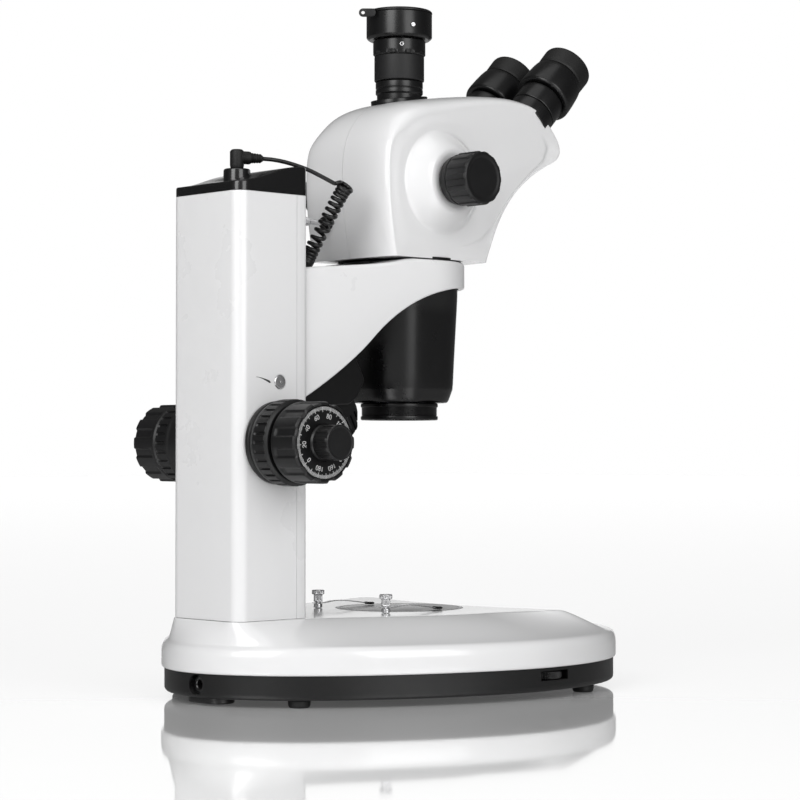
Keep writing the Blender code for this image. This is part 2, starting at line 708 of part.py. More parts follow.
def build_head():
    tube_turn = (TUBE_TILT, 0, 0)
    for side, word in ((-1, "left"), (1, "right")):
        rings = [[(side * x, y, z) for x, y, z in ring] for ring in head_sections(HEAD_RING_POINTS)]
        if side < 0:
            rings = [list(reversed(ring)) for ring in rings]
        shell = solidify(
            loft(f"head_shell_{word}", rings, WHITE, cap_first=False, parent=HEAD_FRAME), HEAD_WALL
        )
        cut(
            shell,
            rod("head_floor_hole", 40, 20, None, SEGMENTS, parent=HEAD_FRAME, at=(0, 0, HEAD_BOTTOM - 10)),
            rod("zoom_hole", 5.4, 40, None, parent=ZOOM_AXIS, at=(side * 35, 0, 0), turn=ALONG_X[side]),
            rod("port_hole", 17.8, 40, None, SEGMENTS, parent=HEAD_FRAME, at=(0, 0, 415)),
            sheet("flange_seat", flange_outline(0.4), 12, None, parent=HEAD_FRAME, at=(0, 0, FLANGE_Z + 4.4),
                  turn=(FLANGE_SLOPE, 0, 0)),
            rod("tube_hole", TUBE_HOLE, 40, None, 24, parent=HEAD_FRAME, turn=tube_turn,
                at=(side * TUBE_PIVOT_X, TUBE_Y + 14, TUBE_Z - 14)),
        )
        if side > 0:
            cut(shell, rod("light_path_hole", 2.4, 30, None, parent=HEAD_FRAME, at=(18, 40, 344),
                           turn=(math.radians(-90), 0, 0)))
        smooth(shell)
    turned(
        "head_mount_ring",
        [(46.4, HEAD_BOTTOM - GAP), (46.4, ARM_TOP + GAP), (30, ARM_TOP + GAP), (30, HEAD_BOTTOM - GAP)],
        BLACK, 28, closed=True, parent=HEAD_FRAME,
    )
    core = box("optics_core", (-26, -28, HEAD_BOTTOM + 0.1), (26, 28, 400), ALUMINIUM, parent=HEAD_FRAME)
    for side in (-1, 1):
        cut(core, rod("lens_channel", 9, 120, None, parent=HEAD_FRAME, at=(side * 13, -15, 300)))
    cut(core, rod("core_bore", 5.4, 80, None, parent=ZOOM_AXIS, at=(-40, 0, 0), turn=ALONG_X[1]))
    turned(
        "light_path_rod",
        [(0, 82), (2.6, 82), (3.2, 81), (3.2, 76), (2.6, 75), (2.0, 75), (2.0, 32), (0, 32)],
        STEEL, 16, parent=HEAD_FRAME, at=(18, 0, 344), turn=(math.radians(-90), 0, 0),
    )
    build_objective()
    build_zoom()


def barrel_ring(radius, flat, z, count=24):
    """A round section with four flats."""
    ring = []
    for step in range(count):
        angle = 2 * math.pi * step / count
        off = (angle + math.pi / 4) % (math.pi / 2) - math.pi / 4
        reach = min(radius, radius * flat / math.cos(off))
        ring.append((reach * math.cos(angle), reach * math.sin(angle), z))
    return ring


def build_objective():
    rings = [
        barrel_ring(25.0, 1.0, 211.3),
        barrel_ring(36.4, 0.97, 211.3),
        barrel_ring(40.0, 0.93, 220.5),
        barrel_ring(43.2, 0.96, 285),
        barrel_ring(43.8, 1.0, 296),
        barrel_ring(43.8, 1.0, ARM_TOP - GAP),
    ]
    barrel = loft("objective_barrel", rings, BLACK, cap_first=False, cap_last=False, parent=HEAD_FRAME)
    smooth(solidify(barrel, 3))
    turned(
        "nosepiece_ring",
        [(29, 211), (29, 208.4), (28, 207.8), (28, 202.4), (29, 201.8), (29, 199), (28.4, 198.3),
         (24, 198.3), (24, 211)],
        BLACK, closed=True, parent=HEAD_FRAME,
    )
    turned(
        "objective_lens", [(0, 206), (23.7, 206), (23.7, 203), (12, 201.4), (0, 201)],
        GLASS, parent=HEAD_FRAME,
    )


def build_zoom():
    rod("zoom_shaft", 5.0, 140, STEEL, parent=ZOOM_AXIS, at=(-70, 0, 0), turn=ALONG_X[1])
    for side, word in ((-1, "left"), (1, "right")):
        turned(
            f"zoom_knob_{word}",
            [(0, 88.2), (15, 88.4), (18.6, 89), (19.4, 87.6), (19.7, 68), (18.4, 66.4), (17.6, 60.4),
             (5.3, 60.4), (5.3, 71), (0, 71)],
            BLACK, parent=ZOOM_AXIS, turn=ALONG_X[side],
        )


def build_eyepieces():
    """Each tube stands on the head's sloping face and swings on a pivot beside its own axis."""
    for side, word in ((-1, "left"), (1, "right")):
        foot = (side * TUBE_PIVOT_X, TUBE_Y, TUBE_Z)
        swing = pivot(f"eyepiece_{word}_pivot", foot, HEAD_FRAME, (TUBE_TILT, 0, 0))
        tube = pivot(f"diopter_{word}_pivot", (side * (TUBE_X - TUBE_PIVOT_X), 0, 0), swing)
        turned(
            f"eyepiece_tube_{word}",
            [(15.5, 21.6), (15.5, 13.8), (17.7, 13.8), (18.3, 13.2), (18.3, 3.2), (19.4, 3.0),
             (19.4, 1.2), (7.5, 1.2), (7.5, -14), (6, -14), (6, 21.6)],
            BLACK, 20, closed=True, parent=tube,
        )
        turned(
            f"diopter_ring_{word}",
            [(18, 46), (18, 45), (20.4, 44.6), (22.3, 34), (22.3, 17.6), (21.6, 16.8), (15.9, 16.8),
             (15.9, 22), (13, 22), (13, 46)],
            BLACK, 20, closed=True, parent=tube,
        )
        turned(
            f"eyecup_{word}",
            [(19, 58.6), (20, 57.6), (19.9, 47), (19.3, 46.3), (14, 46.3), (14, 52), (17, 58.6)],
            RUBBER, 20, closed=True, parent=tube,
        )


def build_photo_port():
    """Camera port on the optical axis: flange and neck, tube, lock ring, cup and its lift-off cap."""
    port = sheet("photo_port", flange_outline(0), 2.8, BLACK, parent=HEAD_FRAME, at=(0, 0, FLANGE_Z),
                 turn=(FLANGE_SLOPE, 0, 0))
    neck = turned(
        "photo_neck", [(0, 452.7), (17.8, 452.7), (17.8, 442.8), (16.8, 442), (16.8, FLANGE_Z), (0, FLANGE_Z)],
        None, parent=HEAD_FRAME,
    )
    combine(port, neck, "UNION")
    cut(port, rod("photo_bore", 11.8, 60, None, parent=HEAD_FRAME, at=(0, 0, 420)))
    smooth(port)
    turned(
        "photo_tube",
        [(17.2, 484), (17.2, 471.7), (18.7, 471.7), (18.7, 453), (12, 453), (12, 484)],
        BLACK, closed=True, parent=HEAD_FRAME,
    )
    turned(
        "photo_lock_ring", [(19.7, 483.7), (19.7, 473.4), (18.8, 472), (17.5, 472), (17.5, 483.7)],
        BLACK, closed=True, parent=HEAD_FRAME,
    )
    turned(
        "camera_cup",
        [(24.7, 503.6), (24.7, 485.6), (23.4, 484.3), (12, 484.3), (12, 487), (22, 487), (22, 503.6)],
        BLACK, closed=True, parent=HEAD_FRAME,
    )
    cap = turned(
        "dust_cap",
        [(0, 506), (24.2, 506), (24.9, 505.2), (24.9, 503.9), (20.8, 503.9), (20.8, 499),
         (19.3, 499), (19.3, 504.2), (0, 504.2)],
        BLACK, parent=HEAD_FRAME,
    )
    ear_frame = pivot("cap_ear_frame", (0, 0, 502), HEAD_FRAME, (math.radians(90), 0, math.radians(46.5)))
    outline = arc((27, 0), 3.1, -90, 90, 5) + arc((20.6, 0), 3.1, 90, 270, 5)
    ear = sheet("cap_ear", outline, 2, None, [circle(1.3, 8, (27, 0))], parent=ear_frame, at=(0, 0, -19.4))
    combine(cap, ear, "UNION")
    bridge = box("ear_bridge", (18, 2.0, -19.8), (23, 3.2, -12), None, parent=ear_frame)
    combine(cap, bridge, "UNION")
    smooth(cap)


# ---------------------------------------------------------------- lamp lead

LEAD_ROUTE = (
    (-6.1, 139.2, 382.6), (-8.3, 132.5, 382.4), (-12.3, 125.8, 381.2), (-17.2, 118.6, 378.9),
    (-23.4, 110.4, 375.2), (-29.8, 101.8, 369.9), (-34.8, 94.9, 365.4),
)
COIL_ROUTE = (
    (-39.5, 90, 364.3), (-33.5, 91.5, 356), (-25, 94, 342), (-14.5, 97.5, 324), (-9.5, 99.5, 314.4),
    (-8, 101, 309.9),
)


def smooth_line(points, count):
    """A Catmull-Rom curve through the points."""
    ends = [tuple(2 * a - b for a, b in zip(points[0], points[1]))]
    tail = [tuple(2 * a - b for a, b in zip(points[-1], points[-2]))]
    knots = ends + list(points) + tail
    result = []
    spans = len(points) - 1
    for step in range(count + 1):
        place_on = min(step / count * spans, spans - 1e-9)
        k = int(place_on)
        t = place_on - k
        p0, p1, p2, p3 = (Vector(p) for p in knots[k:k + 4])
        result.append(0.5 * ((2 * p1) + (p2 - p0) * t + (2 * p0 - 5 * p1 + 4 * p2 - p3) * t ** 2
                             + (3 * p1 - p0 - 3 * p2 + p3) * t ** 3))
    return result


def tube(name, points, radius, resolution, paint, parent):
    wire = bpy.data.curves.new(name, "CURVE")
    wire.dimensions = "3D"
    wire.bevel_depth = radius * MM
    wire.bevel_resolution = resolution
    wire.use_fill_caps = True
    spline = wire.splines.new("POLY")
    spline.points.add(len(points) - 1)
    for point, place_at in zip(spline.points, points):
        point.co = (*scaled(place_at), 1)
    return place(bpy.data.objects.new(name, wire), paint, parent=parent)


def build_lead():
    tube("cord_lead", smooth_line(LEAD_ROUTE, 14), LEAD_RADIUS, 2, RUBBER, STAND)
    tube("cord_coil", smooth_line(COIL_ROUTE, 10), COIL_RADIUS, 2, RUBBER, STAND)
    toward = math.atan2(-0.95, -0.31)
    shell = turned(
        "cord_plug",
        [(0, 388.2), (4.2, 388.2), (5, 387.4), (5, 375), (3.8, 374.6), (3.8, 367), (0, 367)],
        RUBBER, SMALL_SEGMENTS, parent=STAND, at=(0, PLUG_Y, 0),
    )
    arm = turned(
        "plug_arm",
        [(0, 19.4), (2.4, 19.4), (3.6, 12), (4.5, 10), (4.5, 0), (0, 0)],
        None, SMALL_SEGMENTS, parent=STAND, at=(0, PLUG_Y, PLUG_ARM_Z), turn=(0, math.radians(90), toward),
    )
    combine(shell, arm, "UNION")
    smooth(shell)


build_base()
build_tray()
build_clips()
build_pillar()
build_focus_drive()
build_arm()
build_lamp()
build_head()
build_eyepieces()
build_photo_port()
build_lead()
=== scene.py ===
"""Stereo microscope on a pillar stand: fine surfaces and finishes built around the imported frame.

Lengths in the builders are millimetres from the optical axis on the bench: +X is the user's right,
-Y is towards the user, and +Z is up. The helper to_world turns them into the frame's metres.
"""
import math

import bmesh
import bpy
from mathutils import Matrix, Vector


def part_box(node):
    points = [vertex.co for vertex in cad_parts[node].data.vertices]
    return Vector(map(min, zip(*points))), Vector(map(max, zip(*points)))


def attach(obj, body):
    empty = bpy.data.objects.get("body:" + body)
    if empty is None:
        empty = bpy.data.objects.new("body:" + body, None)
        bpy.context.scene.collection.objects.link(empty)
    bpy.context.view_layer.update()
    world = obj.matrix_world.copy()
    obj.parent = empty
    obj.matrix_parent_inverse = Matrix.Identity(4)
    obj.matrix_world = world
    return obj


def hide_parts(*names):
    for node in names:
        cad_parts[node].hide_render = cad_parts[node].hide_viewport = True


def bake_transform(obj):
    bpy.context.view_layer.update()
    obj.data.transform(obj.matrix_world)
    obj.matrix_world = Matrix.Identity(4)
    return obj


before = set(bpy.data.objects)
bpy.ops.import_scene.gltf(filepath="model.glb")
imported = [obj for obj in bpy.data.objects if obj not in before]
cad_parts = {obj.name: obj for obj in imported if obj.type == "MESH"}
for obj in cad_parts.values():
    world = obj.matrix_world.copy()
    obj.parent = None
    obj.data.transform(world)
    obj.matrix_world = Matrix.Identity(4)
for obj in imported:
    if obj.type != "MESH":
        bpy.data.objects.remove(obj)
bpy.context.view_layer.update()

bl_info = {
    "name": "Stereo Microscope Finish",
    "version": (1, 0, 0),
    "blender": (4, 5, 0),
    "location": "3D View > Sidebar > Microscope",
    "description": "Builds the fine surfaces, finishes and studio for a stereo microscope",
    "category": "Object",
}

MM = 0.001
FULL_TURN = 2 * math.pi
STAGE_LOW, STAGE_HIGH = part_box("stage_plate")
AXIS_Y = (STAGE_LOW.y + STAGE_HIGH.y) / 2


class Span:
    """A node's box at rest, in millimetres from the optical axis."""

    def __init__(self, node):
        low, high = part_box(node)
        self.x0, self.x1 = low.x / MM, high.x / MM
        self.y0, self.y1 = (low.y - AXIS_Y) / MM, (high.y - AXIS_Y) / MM
        self.z0, self.z1 = low.z / MM, high.z / MM
        self.x, self.y, self.z = (self.x0 + self.x1) / 2, (self.y0 + self.y1) / 2, (self.z0 + self.z1) / 2


HOUSING = Span("base_housing")
TRAY = Span("base_tray")
STAGE = Span("stage_plate")
COLUMN = Span("pillar_column")
COVER = Span("pillar_front_cover")
CAP = Span("pillar_cap")
ARM = Span("focus_arm")
SHELL = Span("head_shell_left")
BARREL = Span("objective_barrel")
NOSEPIECE = Span("nosepiece_ring")
COARSE = Span("coarse_knob_left")
FINE = Span("fine_knob_left")
COLLAR = Span("tension_collar")
ZOOM = Span("zoom_knob_left")
PLUG_DISC = Span("side_plug")
LOCK_SCREW = Span("head_lock_screw")
PULL_ROD = Span("light_path_rod")
TUBE_CUP = Span("camera_cup")
PHOTO_TUBE = Span("photo_tube")
LOCK_RING = Span("photo_lock_ring")
DUST_CAP = Span("dust_cap")
SIDES = (("left", -1), ("right", 1))

# Driving values, in millimetres and degrees
BASE_HALF_WIDTH = HOUSING.x1
BASE_REAR = HOUSING.y1
BASE_FRONT = HOUSING.y0
BASE_WIDEST_Y = -10.0
OUTLINE_POINTS = 120
PILLAR_CORNER = 9.0
ARM_RING_LOW = 296.6
ARM_RING = ARM.x1
ARM_FOOT = 35.0
HEAD_LOW = SHELL.z0 - 1.6
FRONT_FOOT = -52.5
ZOOM_Z = ZOOM.z
HEAD_POINTS = 200
TUBE_FOOT_Y = -114.2
TUBE_FOOT_Z = 437.4
TUBE_TILT = 45
VIEW = Vector((0.725, -0.688, 0.0)).normalized()


# ---------------------------------------------------------------- settings

class MicroscopeColours(bpy.types.PropertyGroup):
    white: bpy.props.FloatVectorProperty(
        name="White enamel", description="Colour of the housings, pillar and arm", subtype="COLOR",
        size=3, min=0.0, max=1.0, default=(0.83, 0.83, 0.835))
    black: bpy.props.FloatVectorProperty(
        name="Black", description="Colour of the knobs, barrel and tubes", subtype="COLOR",
        size=3, min=0.0, max=1.0, default=(0.004, 0.004, 0.0043))
    rubber: bpy.props.FloatVectorProperty(
        name="Rubber", description="Colour of the eyecups, feet and lead", subtype="COLOR",
        size=3, min=0.0, max=1.0, default=(0.004, 0.004, 0.004))
    steel: bpy.props.FloatVectorProperty(
        name="Steel", description="Colour of the clip posts and plug", subtype="COLOR",
        size=3, min=0.0, max=1.0, default=(0.80, 0.80, 0.81))
    stage: bpy.props.FloatVectorProperty(
        name="Stage insert", description="Colour of the round stage plate", subtype="COLOR",
        size=3, min=0.0, max=1.0, default=(0.10, 0.10, 0.102))


class MicroscopeDetails(bpy.types.PropertyGroup):
    sides: bpy.props.IntProperty(
        name="Sides", description="Sides of a round piece", min=24, max=240, default=112)
    coarse_slots: bpy.props.IntProperty(
        name="Coarse knob slots", description="Slots round each coarse focus knob", min=6, max=60, default=30)
    fine_flutes: bpy.props.IntProperty(
        name="Fine knob flutes", description="Flutes round each fine focus knob", min=3, max=30, default=12)
    hub_bars: bpy.props.IntProperty(
        name="Hub bars", description="Raised bars round each fine knob's hub", min=3, max=30, default=11)
    zoom_bars: bpy.props.IntProperty(
        name="Zoom knob bars", description="Raised bars round each zoom knob", min=3, max=30, default=14)
    coil_turns: bpy.props.IntProperty(
        name="Lead turns", description="Turns in the lamp lead's curly part", min=4, max=30, default=18)


class MicroscopeStudio(bpy.types.PropertyGroup):
    focal: bpy.props.FloatProperty(
        name="Focal length", description="Camera lens in millimetres", min=20.0, max=300.0, default=104.85)
    eye_height: bpy.props.FloatProperty(
        name="Camera height", description="Height of the camera over the bench", subtype="DISTANCE",
        min=0.01, max=3.0, default=0.176)
    key_power: bpy.props.FloatProperty(
        name="Key light", description="Power of the large softbox", subtype="POWER",
        min=0.0, max=500.0, default=17.5)
    fill_power: bpy.props.FloatProperty(
        name="Fill light", description="Power of the right softbox", subtype="POWER",
        min=0.0, max=500.0, default=13.5)
    top_power: bpy.props.FloatProperty(
        name="Top light", description="Power of the light overhead", subtype="POWER",
        min=0.0, max=500.0, default=5.0)
    backdrop: bpy.props.FloatProperty(
        name="Backdrop", description="Brightness of the wall before the camera", min=0.0, max=5.0,
        default=1.0)
    surround: bpy.props.FloatProperty(
        name="Surround", description="Brightness of the studio behind the camera", min=0.0, max=5.0,
        default=0.36)
    sides: bpy.props.FloatProperty(
        name="Sides", description="Brightness of the studio's dark sides", min=0.0, max=5.0, default=0.10)


# ---------------------------------------------------------------- shader groups and finishes

def group_socket(tree, name, kind, way, value=None):
    made = tree.interface.new_socket(name=name, in_out=way, socket_type=kind)
    if value is not None:
        made.default_value = value
    return made


def new_group(name):
    tree = bpy.data.node_groups.new(name, "ShaderNodeTree")
    entry = tree.nodes.new("NodeGroupInput")
    leave = tree.nodes.new("NodeGroupOutput")
    return tree, entry, leave


def moulded_grain_group():
    """Fine pebbled texture of moulded or blasted surfaces, as a height."""
    tree, entry, leave = new_group("moulded_grain")
    group_socket(tree, "Scale", "NodeSocketFloat", "INPUT", 900.0)
    group_socket(tree, "Softness", "NodeSocketFloat", "INPUT", 0.5)
    group_socket(tree, "Height", "NodeSocketFloat", "OUTPUT")
    place = tree.nodes.new("ShaderNodeTexCoord")
    pebbles = tree.nodes.new("ShaderNodeTexVoronoi")
    drift = tree.nodes.new("ShaderNodeTexNoise")
    mix = tree.nodes.new("ShaderNodeMix")
    drift.inputs["Detail"].default_value = 4.0
    link = tree.links.new
    link(place.outputs["Object"], pebbles.inputs["Vector"])
    link(place.outputs["Object"], drift.inputs["Vector"])
    link(entry.outputs["Scale"], pebbles.inputs["Scale"])
    link(entry.outputs["Scale"], drift.inputs["Scale"])
    link(entry.outputs["Softness"], mix.inputs["Factor"])
    link(pebbles.outputs["Distance"], mix.inputs["A"])
    link(drift.outputs["Fac"], mix.inputs["B"])
    link(mix.outputs["Result"], leave.inputs["Height"])
    return tree


def handling_group():
    """Where hands and cloths have left a surface a little duller or shinier, as a roughness."""
    tree, entry, leave = new_group("handling_marks")
    group_socket(tree, "Low", "NodeSocketFloat", "INPUT", 0.2)
    group_socket(tree, "High", "NodeSocketFloat", "INPUT", 0.35)
    group_socket(tree, "Scale", "NodeSocketFloat", "INPUT", 14.0)
    group_socket(tree, "Roughness", "NodeSocketFloat", "OUTPUT")
    place = tree.nodes.new("ShaderNodeTexCoord")
    cloud = tree.nodes.new("ShaderNodeTexNoise")
    spread = tree.nodes.new("ShaderNodeMapRange")
    cloud.inputs["Detail"].default_value = 6.0
    cloud.inputs["Roughness"].default_value = 0.62
    spread.inputs["From Min"].default_value = 0.32
    spread.inputs["From Max"].default_value = 0.68
    link = tree.links.new
    link(place.outputs["Object"], cloud.inputs["Vector"])
    link(entry.outputs["Scale"], cloud.inputs["Scale"])
    link(cloud.outputs["Fac"], spread.inputs["Value"])
    link(entry.outputs["Low"], spread.inputs["To Min"])
    link(entry.outputs["High"], spread.inputs["To Max"])
    link(spread.outputs["Result"], leave.inputs["Roughness"])
    return tree


def settled_dust_group():
    """A trace of pale dust on faces that look up, as a colour."""
    tree, entry, leave = new_group("settled_dust")
    group_socket(tree, "Surface", "NodeSocketColor", "INPUT", (0.8, 0.8, 0.8, 1.0))
    group_socket(tree, "Dust", "NodeSocketColor", "INPUT", (0.55, 0.54, 0.52, 1.0))
    group_socket(tree, "Amount", "NodeSocketFloat", "INPUT", 0.05)
    group_socket(tree, "Color", "NodeSocketColor", "OUTPUT")
    facing = tree.nodes.new("ShaderNodeNewGeometry")
    place = tree.nodes.new("ShaderNodeTexCoord")
    parts = tree.nodes.new("ShaderNodeSeparateXYZ")
    up = tree.nodes.new("ShaderNodeMapRange")
    specks = tree.nodes.new("ShaderNodeTexNoise")
    both = tree.nodes.new("ShaderNodeMath")
    scaled = tree.nodes.new("ShaderNodeMath")
    mix = tree.nodes.new("ShaderNodeMix")
    up.inputs["From Min"].default_value = 0.4
    specks.inputs["Scale"].default_value = 420.0
    specks.inputs["Detail"].default_value = 3.0
    both.operation = "MULTIPLY"
    scaled.operation = "MULTIPLY"
    mix.data_type = "RGBA"
    link = tree.links.new
    link(facing.outputs["Normal"], parts.inputs["Vector"])
    link(parts.outputs["Z"], up.inputs["Value"])
    link(place.outputs["Object"], specks.inputs["Vector"])
    link(up.outputs["Result"], both.inputs[0])
    link(specks.outputs["Fac"], both.inputs[1])
    link(both.outputs["Value"], scaled.inputs[0])
    link(entry.outputs["Amount"], scaled.inputs[1])
    link(scaled.outputs["Value"], mix.inputs["Factor"])
    link(entry.outputs["Surface"], mix.inputs["A"])
    link(entry.outputs["Dust"], mix.inputs["B"])
    link(mix.outputs["Result"], leave.inputs["Color"])
    return tree


def drawn_lines_group():
    """Fine lines left by turning or drawing metal, across one direction, as a height and a tint mask."""
    tree, entry, leave = new_group("drawn_lines")
    group_socket(tree, "Stretch", "NodeSocketVector", "INPUT", (1.0, 1.0, 1.0))
    group_socket(tree, "Scale", "NodeSocketFloat", "INPUT", 300.0)
    group_socket(tree, "Height", "NodeSocketFloat", "OUTPUT")
    group_socket(tree, "Mask", "NodeSocketFloat", "OUTPUT")
    place = tree.nodes.new("ShaderNodeTexCoord")
    pull = tree.nodes.new("ShaderNodeVectorMath")
    lines = tree.nodes.new("ShaderNodeTexNoise")
    sharp = tree.nodes.new("ShaderNodeMapRange")
    pull.operation = "MULTIPLY"
    lines.inputs["Detail"].default_value = 5.0
    sharp.inputs["From Min"].default_value = 0.35
    sharp.inputs["From Max"].default_value = 0.65
    link = tree.links.new
    link(place.outputs["Object"], pull.inputs[0])
    link(entry.outputs["Stretch"], pull.inputs[1])
    link(pull.outputs["Vector"], lines.inputs["Vector"])
    link(entry.outputs["Scale"], lines.inputs["Scale"])
    link(lines.outputs["Fac"], sharp.inputs["Value"])
    link(lines.outputs["Fac"], leave.inputs["Height"])
    link(sharp.outputs["Result"], leave.inputs["Mask"])
    return tree


GROUPS = {}
FINISHES = {}


def build_groups():
    GROUPS["grain"] = moulded_grain_group()
    GROUPS["handling"] = handling_group()
    GROUPS["dust"] = settled_dust_group()
    GROUPS["lines"] = drawn_lines_group()


class Finish:
    """One material under construction: its Principled shader and the groups that feed it."""

    def __init__(self, name, metallic=0.0, slot="black_metal", **plain):
        self.paint = bpy.data.materials.new(name)
        self.paint.use_nodes = True
        self.tree = self.paint.node_tree
        self.shader = self.tree.nodes["Principled BSDF"]
        self.shader.inputs["Metallic"].default_value = metallic
        for socket, value in plain.items():
            self.shader.inputs[socket.replace("_", " ").title().replace("Ior", "IOR")].default_value = value
        FINISHES[name] = (self.paint, slot)

    def group(self, key, **values):
        node = self.tree.nodes.new("ShaderNodeGroup")
        node.node_tree = GROUPS[key]
        for socket, value in values.items():
            node.inputs[socket.title()].default_value = value
        return node

    def colour(self, rgb, variation=0.03, scale=6.0, dust=0.0):
        """Base colour with a slow drift, and a trace of dust on top."""
        cloud = self.tree.nodes.new("ShaderNodeTexNoise")
        place = self.tree.nodes.new("ShaderNodeTexCoord")
        mix = self.tree.nodes.new("ShaderNodeMix")
        mix.data_type = "RGBA"
        cloud.inputs["Scale"].default_value = scale
        cloud.inputs["Detail"].default_value = 4.0
        mix.inputs["A"].default_value = (*(c * (1 - variation) for c in rgb), 1.0)
        mix.inputs["B"].default_value = (*(min(1.0, c * (1 + variation)) for c in rgb), 1.0)
        self.tree.links.new(place.outputs["Object"], cloud.inputs["Vector"])
        self.tree.links.new(cloud.outputs["Fac"], mix.inputs["Factor"])
        result = mix.outputs["Result"]
        if dust:
            layer = self.group("dust", amount=dust)
            self.tree.links.new(result, layer.inputs["Surface"])
            result = layer.outputs["Color"]
        self.tree.links.new(result, self.shader.inputs["Base Color"])
        return self

    def roughness(self, low, high, scale=14.0):
        node = self.group("handling", low=low, high=high, scale=scale)
        self.tree.links.new(node.outputs["Roughness"], self.shader.inputs["Roughness"])
        return self

    def relief(self, key, strength, distance=0.0001, **values):
        """Surface relief from a group's height."""
        node = self.group(key, **values)
        bump = self.tree.nodes.new("ShaderNodeBump")
        bump.inputs["Strength"].default_value = strength
        bump.inputs["Distance"].default_value = distance
        self.tree.links.new(node.outputs["Height"], bump.inputs["Height"])
        self.tree.links.new(bump.outputs["Normal"], self.shader.inputs["Normal"])
        return self


def build_finishes(colours):
    white = tuple(colours.white)
    black = tuple(colours.black)
    rubber = tuple(colours.rubber)
    steel = tuple(colours.steel)
    build_groups()
    Finish("gloss_white_housing", slot="white_housing", coat_weight=0.35, coat_roughness=0.06).colour(
        white, 0.012, 5.0, 0.03).roughness(0.16, 0.24, 9.0).relief("grain", 0.05, 0.00005,
        scale=420.0, softness=0.9)
    Finish("white_enamel", slot="white_paint", coat_weight=0.25, coat_roughness=0.12).colour(
        white, 0.012, 4.0, 0.03).roughness(0.24, 0.34, 8.0).relief("grain", 0.10, 0.00005,
        scale=700.0, softness=0.8)
    Finish("gloss_black_cap", slot="black_gloss", coat_weight=0.4, coat_roughness=0.05).colour(
        black, 0.1, 8.0, 0.03).roughness(0.16, 0.26, 16.0).relief("grain", 0.04, 0.00005,
        scale=500.0, softness=0.9)
    Finish("satin_black_metal", slot="black_metal", specular_ior_level=0.45).colour(
        black, 0.12, 9.0, 0.02).roughness(0.25, 0.33, 20.0).relief("grain", 0.16, 0.00006,
        scale=1500.0, softness=0.4)
    Finish("matte_black_metal", slot="black_metal", specular_ior_level=0.45).colour(
        tuple(c * 1.5 for c in black), 0.1, 9.0, 0.03).roughness(0.52, 0.62, 20.0).relief(
        "grain", 0.3, 0.00008, scale=1300.0, softness=0.4)
    Finish("moulded_black", slot="black_plastic", specular_ior_level=0.45).colour(
        tuple(c * 1.25 for c in black), 0.12, 12.0, 0.04).roughness(0.34, 0.46, 26.0).relief(
        "grain", 0.35, 0.00008, scale=1100.0, softness=0.5)
    Finish("tray_black", slot="black_plastic", specular_ior_level=0.45).colour(
        tuple(c * 0.8 for c in black), 0.15, 7.0, 0.04).roughness(0.34, 0.46, 12.0).relief(
        "grain", 0.4, 0.0001, scale=800.0, softness=0.5)
    Finish("black_rubber", slot="black_rubber", specular_ior_level=0.45).colour(
        rubber, 0.15, 14.0, 0.05).roughness(0.5, 0.66, 22.0).relief("grain", 0.35, 0.0001,
        scale=900.0, softness=0.6)
    Finish("lead_rubber", slot="black_rubber").colour(
        rubber, 0.1, 30.0, 0.0).roughness(0.30, 0.42, 40.0).relief("grain", 0.15, 0.00005,
        scale=1400.0, softness=0.8)
    Finish("turned_steel", 1.0, slot="steel").colour(steel, 0.08, 30.0).roughness(0.2, 0.32, 60.0).relief(
        "lines", 0.2, 0.00005, scale=500.0, stretch=(0.2, 0.2, 6.0))
    Finish("spun_steel", 1.0, slot="steel", anisotropic=0.7).colour(steel, 0.06, 40.0).roughness(
        0.16, 0.26, 80.0).relief("lines", 0.12, 0.00003, scale=700.0, stretch=(6.0, 1.0, 1.0))
    Finish("drawn_aluminium", 1.0, slot="aluminium").colour((0.66, 0.66, 0.67), 0.05, 20.0).roughness(
        0.3, 0.42, 30.0).relief("lines", 0.2, 0.00005, scale=300.0, stretch=(5.0, 5.0, 0.2))
    Finish("cut_brass", 1.0, slot="brass").colour((0.68, 0.49, 0.2), 0.08, 25.0).roughness(
        0.25, 0.38, 40.0).relief("lines", 0.2, 0.00005, scale=400.0, stretch=(0.2, 5.0, 5.0))
    Finish("stage_insert", slot="stage_grey").colour(tuple(colours.stage), 0.08, 18.0, 0.03).roughness(
        0.22, 0.34, 30.0).relief("grain", 0.12, 0.00005, scale=900.0, softness=0.6)
    Finish("frosted_panel", slot="diffuser", subsurface_weight=0.2).colour((0.8, 0.8, 0.78), 0.02,
                                                                           10.0).roughness(
        0.45, 0.6, 30.0).relief("grain", 0.2, 0.0001, scale=700.0, softness=0.5)
    Finish("white_print", slot="black_metal").colour((0.78, 0.78, 0.78), 0.05, 60.0).roughness(
        0.4, 0.55, 60.0).relief("grain", 0.1, 0.00003, scale=2000.0, softness=0.5)
    Finish("dark_print", slot="black_metal").colour((0.02, 0.02, 0.02), 0.1, 60.0).roughness(
        0.4, 0.55, 60.0).relief("grain", 0.1, 0.00003, scale=2000.0, softness=0.5)
    Finish("coated_lens", slot="lens_glass", transmission_weight=0.85, ior=1.52, coat_weight=0.6,
           coat_roughness=0.02).colour((0.55, 0.60, 0.72), 0.04, 20.0).roughness(0.02, 0.06, 30.0).relief(
        "grain", 0.02, 0.00002, scale=600.0, softness=0.9)


# ---------------------------------------------------------------- shape helpers

def to_world(point):
    return Vector((point[0] * MM, point[1] * MM + AXIS_Y, point[2] * MM))


def smooth_step(value):
    t = min(max(value, 0.0), 1.0)
    return t * t * (3 - 2 * t)


def arc(centre, radius, start, end, count):
    """Points along an arc, angles in degrees."""
    return [
        (centre[0] + radius * math.cos(math.radians(start + (end - start) * k / count)),
         centre[1] + radius * math.sin(math.radians(start + (end - start) * k / count)))
        for k in range(count + 1)
    ]


